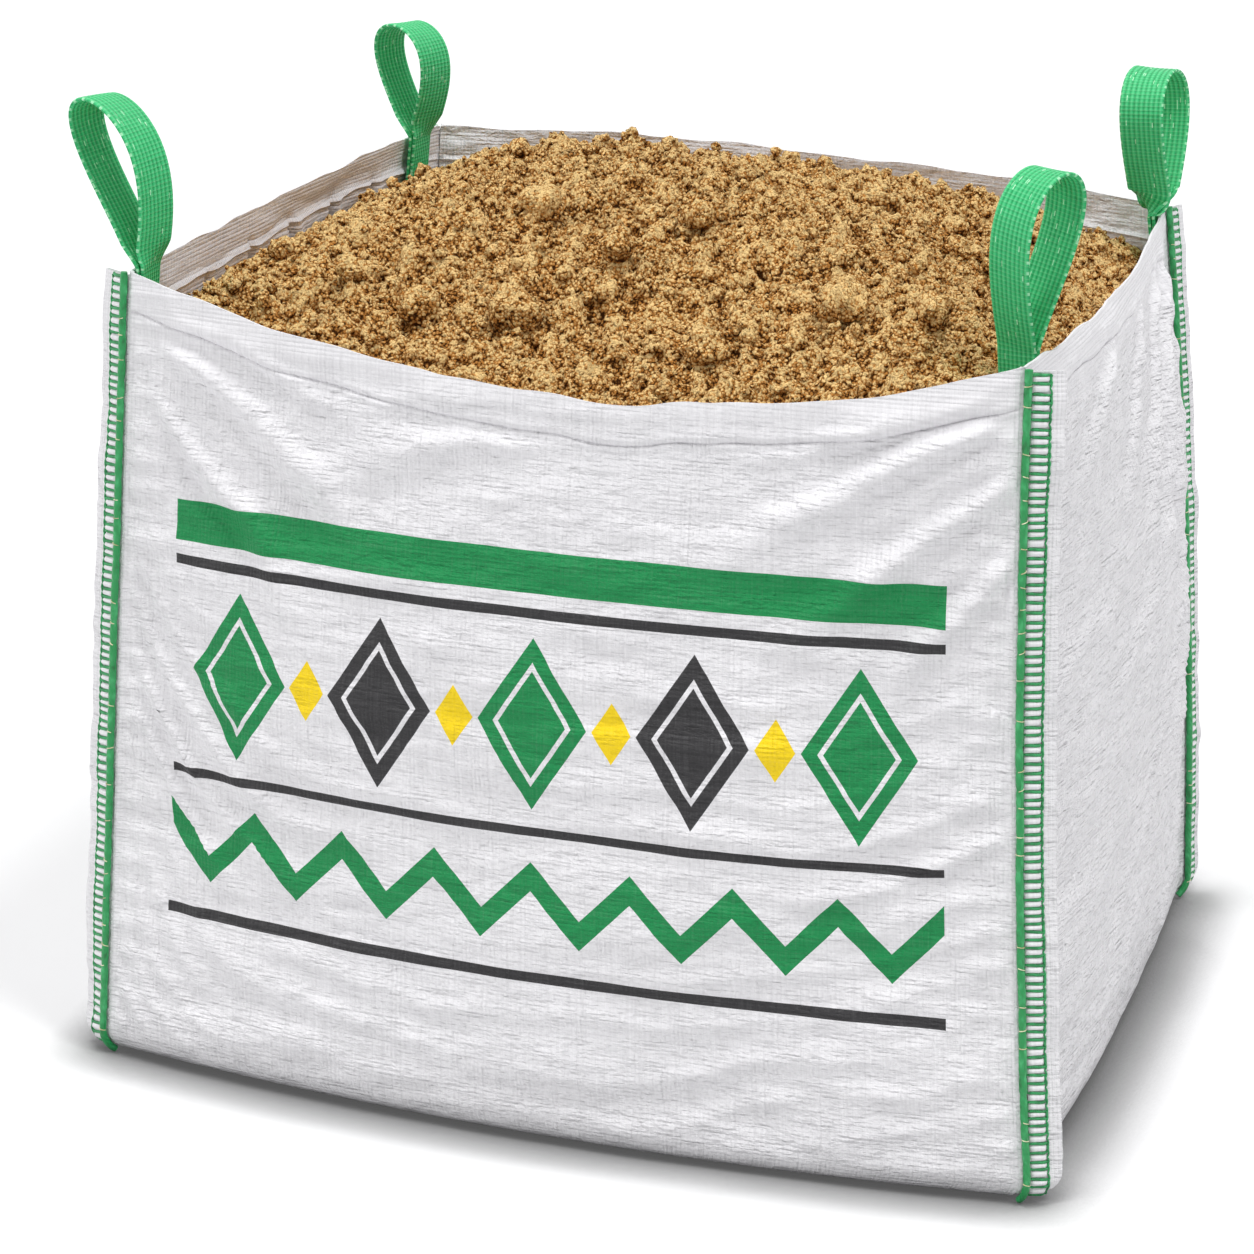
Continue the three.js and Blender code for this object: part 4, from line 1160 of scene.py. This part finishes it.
def sandFinish():
    finish = Finish("dampSand", Roughness=0.93, Specular_IOR_Level=0.1)
    where = finish.objectSpot()
    paintedShading = finish.mapped()[0]
    damp = finish.grain(where, sandLook["damp"], 4.0, 0.6)
    clump = finish.grain(where, sandLook["clump"], 4.0, 0.65)
    grit = finish.grain(where, sandLook["grit"], 2.0, 0.6)
    grains, grainTint = (finish.node("TexVoronoi", None, {"Vector": where, "Scale": sandLook["grains"]}, out)
                         for out in ("Distance", "Color"))
    grainTone = finish.node("SeparateXYZ", None, {0: grainTint})
    # painted shade and light: the map darkens crevices and crumb undersides and lightens tops; the noises add
    # the sand's own uneven tone
    tone = paintedShading * 0.95 + (damp - 0.5) * 0.35 + (clump - 0.5) * 1.35 + (grit - 0.5) * 0.5
    # painted shade between grains: each grain darkens towards its rim, where its bump sinks
    tone = tone + (grainTone - 0.5) * 0.95 - finish.rise(grains, 0.35, 0.75) * 0.55 + 0.44
    colour = finish.paint(finish.rise(tone, 0.12, 0.55), sandLook["dark"], sandLook["body"])
    colour = finish.paint(finish.rise(tone, 0.60, 1.05), colour, sandLook["pale"])
    coarse = finish.relief(clump, sandLook["clumpDepth"], 0.9)
    pebbled = finish.relief(1 - grains, sandLook["grainDepth"], 0.9, coarse)
    finish.feed(Base_Color=colour, Normal=finish.relief(grit, sandLook["gritDepth"], 0.8, pebbled))
    return finish.material


def dress(piece, material):
    piece.data.materials.clear()
    piece.data.materials.append(material)


# weave and crinkle depths of each cloth, and the dark and light of each thread
for pieces, material in (
        ([bodyCloth], wovenCloth("wovenPrinted", True, 0.0007, 0.0115)),
        (sideCloths, wovenCloth("wovenWhite", False, 0.0008, 0.019)),
        (bindings, wovenCloth("wovenPad", False, 0.0003, 0.001)),
        ([hemThreads], threadFinish("threadWhite", (0.66, 0.65, 0.68, 1), (0.8, 0.79, 0.81, 1), 0.5)),
        (stitches, threadFinish("threadGreen", threadLook["deep"], threadLook["green"], 0.45)),
        # dark dashes: thread whose colour also paints the shade of the gap beside the cord
        (dashes, threadFinish("darkThreadGapShade", (0.020, 0.030, 0.018, 1), (0.055, 0.060, 0.040, 1), 0.6)),
        (seamTackPieces, threadFinish("threadPale", (0.42, 0.38, 0.20, 1), (0.72, 0.70, 0.50, 1), 0.5)),
        (seamCords, cordFinish()), (loopPieces, webbingFinish()), (sandPieces, sandFinish())):
    for piece in pieces:
        dress(piece, material)
print("materials wired")

# floor, light and camera; contact is how far the painted shadow under the bag's edge reaches
stageLook = dict(floor=(0.80, 0.80, 0.805, 1), lift=0.09, world=0.51, contact=0.08, contactDepth=2.6)
# soft suns: from nearly overhead, from low on the front left, and from high on the right
lamps = dict(
    key=dict(place=(-0.3, -0.34, 3.0), strength=1.20, spread=16),
    front=dict(place=(-2.8, -1.6, 1.4), strength=0.76, spread=16),
    right=dict(place=(1.1, -0.50, 2.2), strength=1.28, spread=14),
)


def floorStage():
    clearSelection()
    bpy.ops.mesh.primitive_plane_add(size=40, location=(0, 0, -0.0005))
    floor = bpy.context.object
    floor.name = "floor"
    finish = Finish("paleFloor", Roughness=1.0)
    # painted shadow: the floor's colour goes dark by occlusion near the bag, beside the lamps' own shadows
    near = finish.node("AmbientOcclusion", dict(samples=4), {"Distance": stageLook["contact"]}, "AO")
    shaded = finish.paint(near ** stageLook["contactDepth"], (0, 0, 0, 1), stageLook["floor"])
    finish.feed(Base_Color=shaded, Specular_IOR_Level=0.0)
    seen = [finish.node("LightPath", None, None, "Is " + kind + " Ray")
            for kind in ("Camera", "Glossy", "Transmission")]
    seen = finish.math("MAXIMUM", seen[0], finish.math("MAXIMUM", seen[1], seen[2]))
    glow = finish.node("Emission", None, {"Color": (1, 1, 1, 1), "Strength": seen * stageLook["lift"]})
    both = finish.node("AddShader", None, {0: Wire(finish, finish.shader.outputs[0]), 1: glow})
    finish.tree.links.new(both.socket, finish.tree.nodes["Material Output"].inputs["Surface"])
    dress(floor, finish.material)


def worldLight():
    world = bpy.data.worlds.new("softWorld")
    bpy.context.scene.world = world
    world.use_nodes = True
    tree = world.node_tree
    path = tree.nodes.new("ShaderNodeLightPath")
    shows = path.outputs["Is Camera Ray"]
    for kind in ("Is Glossy Ray", "Is Transmission Ray"):
        either = tree.nodes.new("ShaderNodeMath")
        either.operation = "MAXIMUM"
        tree.links.new(shows, either.inputs[0])
        tree.links.new(path.outputs[kind], either.inputs[1])
        shows = either.outputs[0]
    level = tree.nodes.new("ShaderNodeMapRange")
    tree.links.new(shows, level.inputs[0])
    level.inputs[3].default_value = stageLook["world"]
    level.inputs[4].default_value = 1.0
    back = tree.nodes["Background"]
    back.inputs["Color"].default_value = (1, 1, 1, 1)
    tree.links.new(level.outputs[0], back.inputs["Strength"])


def sunLamp(name):
    look = lamps[name]
    clearSelection()
    bpy.ops.object.light_add(type="SUN", location=look["place"])
    lamp = bpy.context.object
    lamp.name = name
    lamp.data.energy = look["strength"]
    lamp.data.angle = math.radians(look["spread"])
    lamp.rotation_euler = (-Vector(look["place"])).to_track_quat("-Z", "Y").to_euler()


shot = dict(azimuth=17.27, elevation=16.33, roll=1.70, distance=4.3586, target=(-0.0621, 0, 0.3765),
            focal=4151, pixels=1254)


def aimCamera():
    turn, lift, roll = (math.radians(shot[key]) for key in ("azimuth", "elevation", "roll"))
    back = Vector((math.sin(turn) * math.cos(lift), -math.cos(turn) * math.cos(lift), math.sin(lift)))
    right = Vector((math.cos(turn), math.sin(turn), 0))
    up = back.cross(right)
    sideways = right * math.cos(roll) + up * math.sin(roll)
    upright = up * math.cos(roll) - right * math.sin(roll)
    clearSelection()
    bpy.ops.object.camera_add()
    camera = bpy.context.object
    place = Vector(shot["target"]) + back * shot["distance"]
    turned = Matrix((sideways, upright, back)).transposed().to_4x4()
    camera.matrix_world = Matrix.Translation(place) @ turned
    camera.data.sensor_width = 36
    camera.data.lens = shot["focal"] / shot["pixels"] * 36
    camera.data.clip_end = 100
    bpy.context.scene.camera = camera


floorStage()
worldLight()
for name in lamps:
    sunLamp(name)
aimCamera()
bpy.context.scene.view_settings.view_transform = "Standard"
print("stage set")
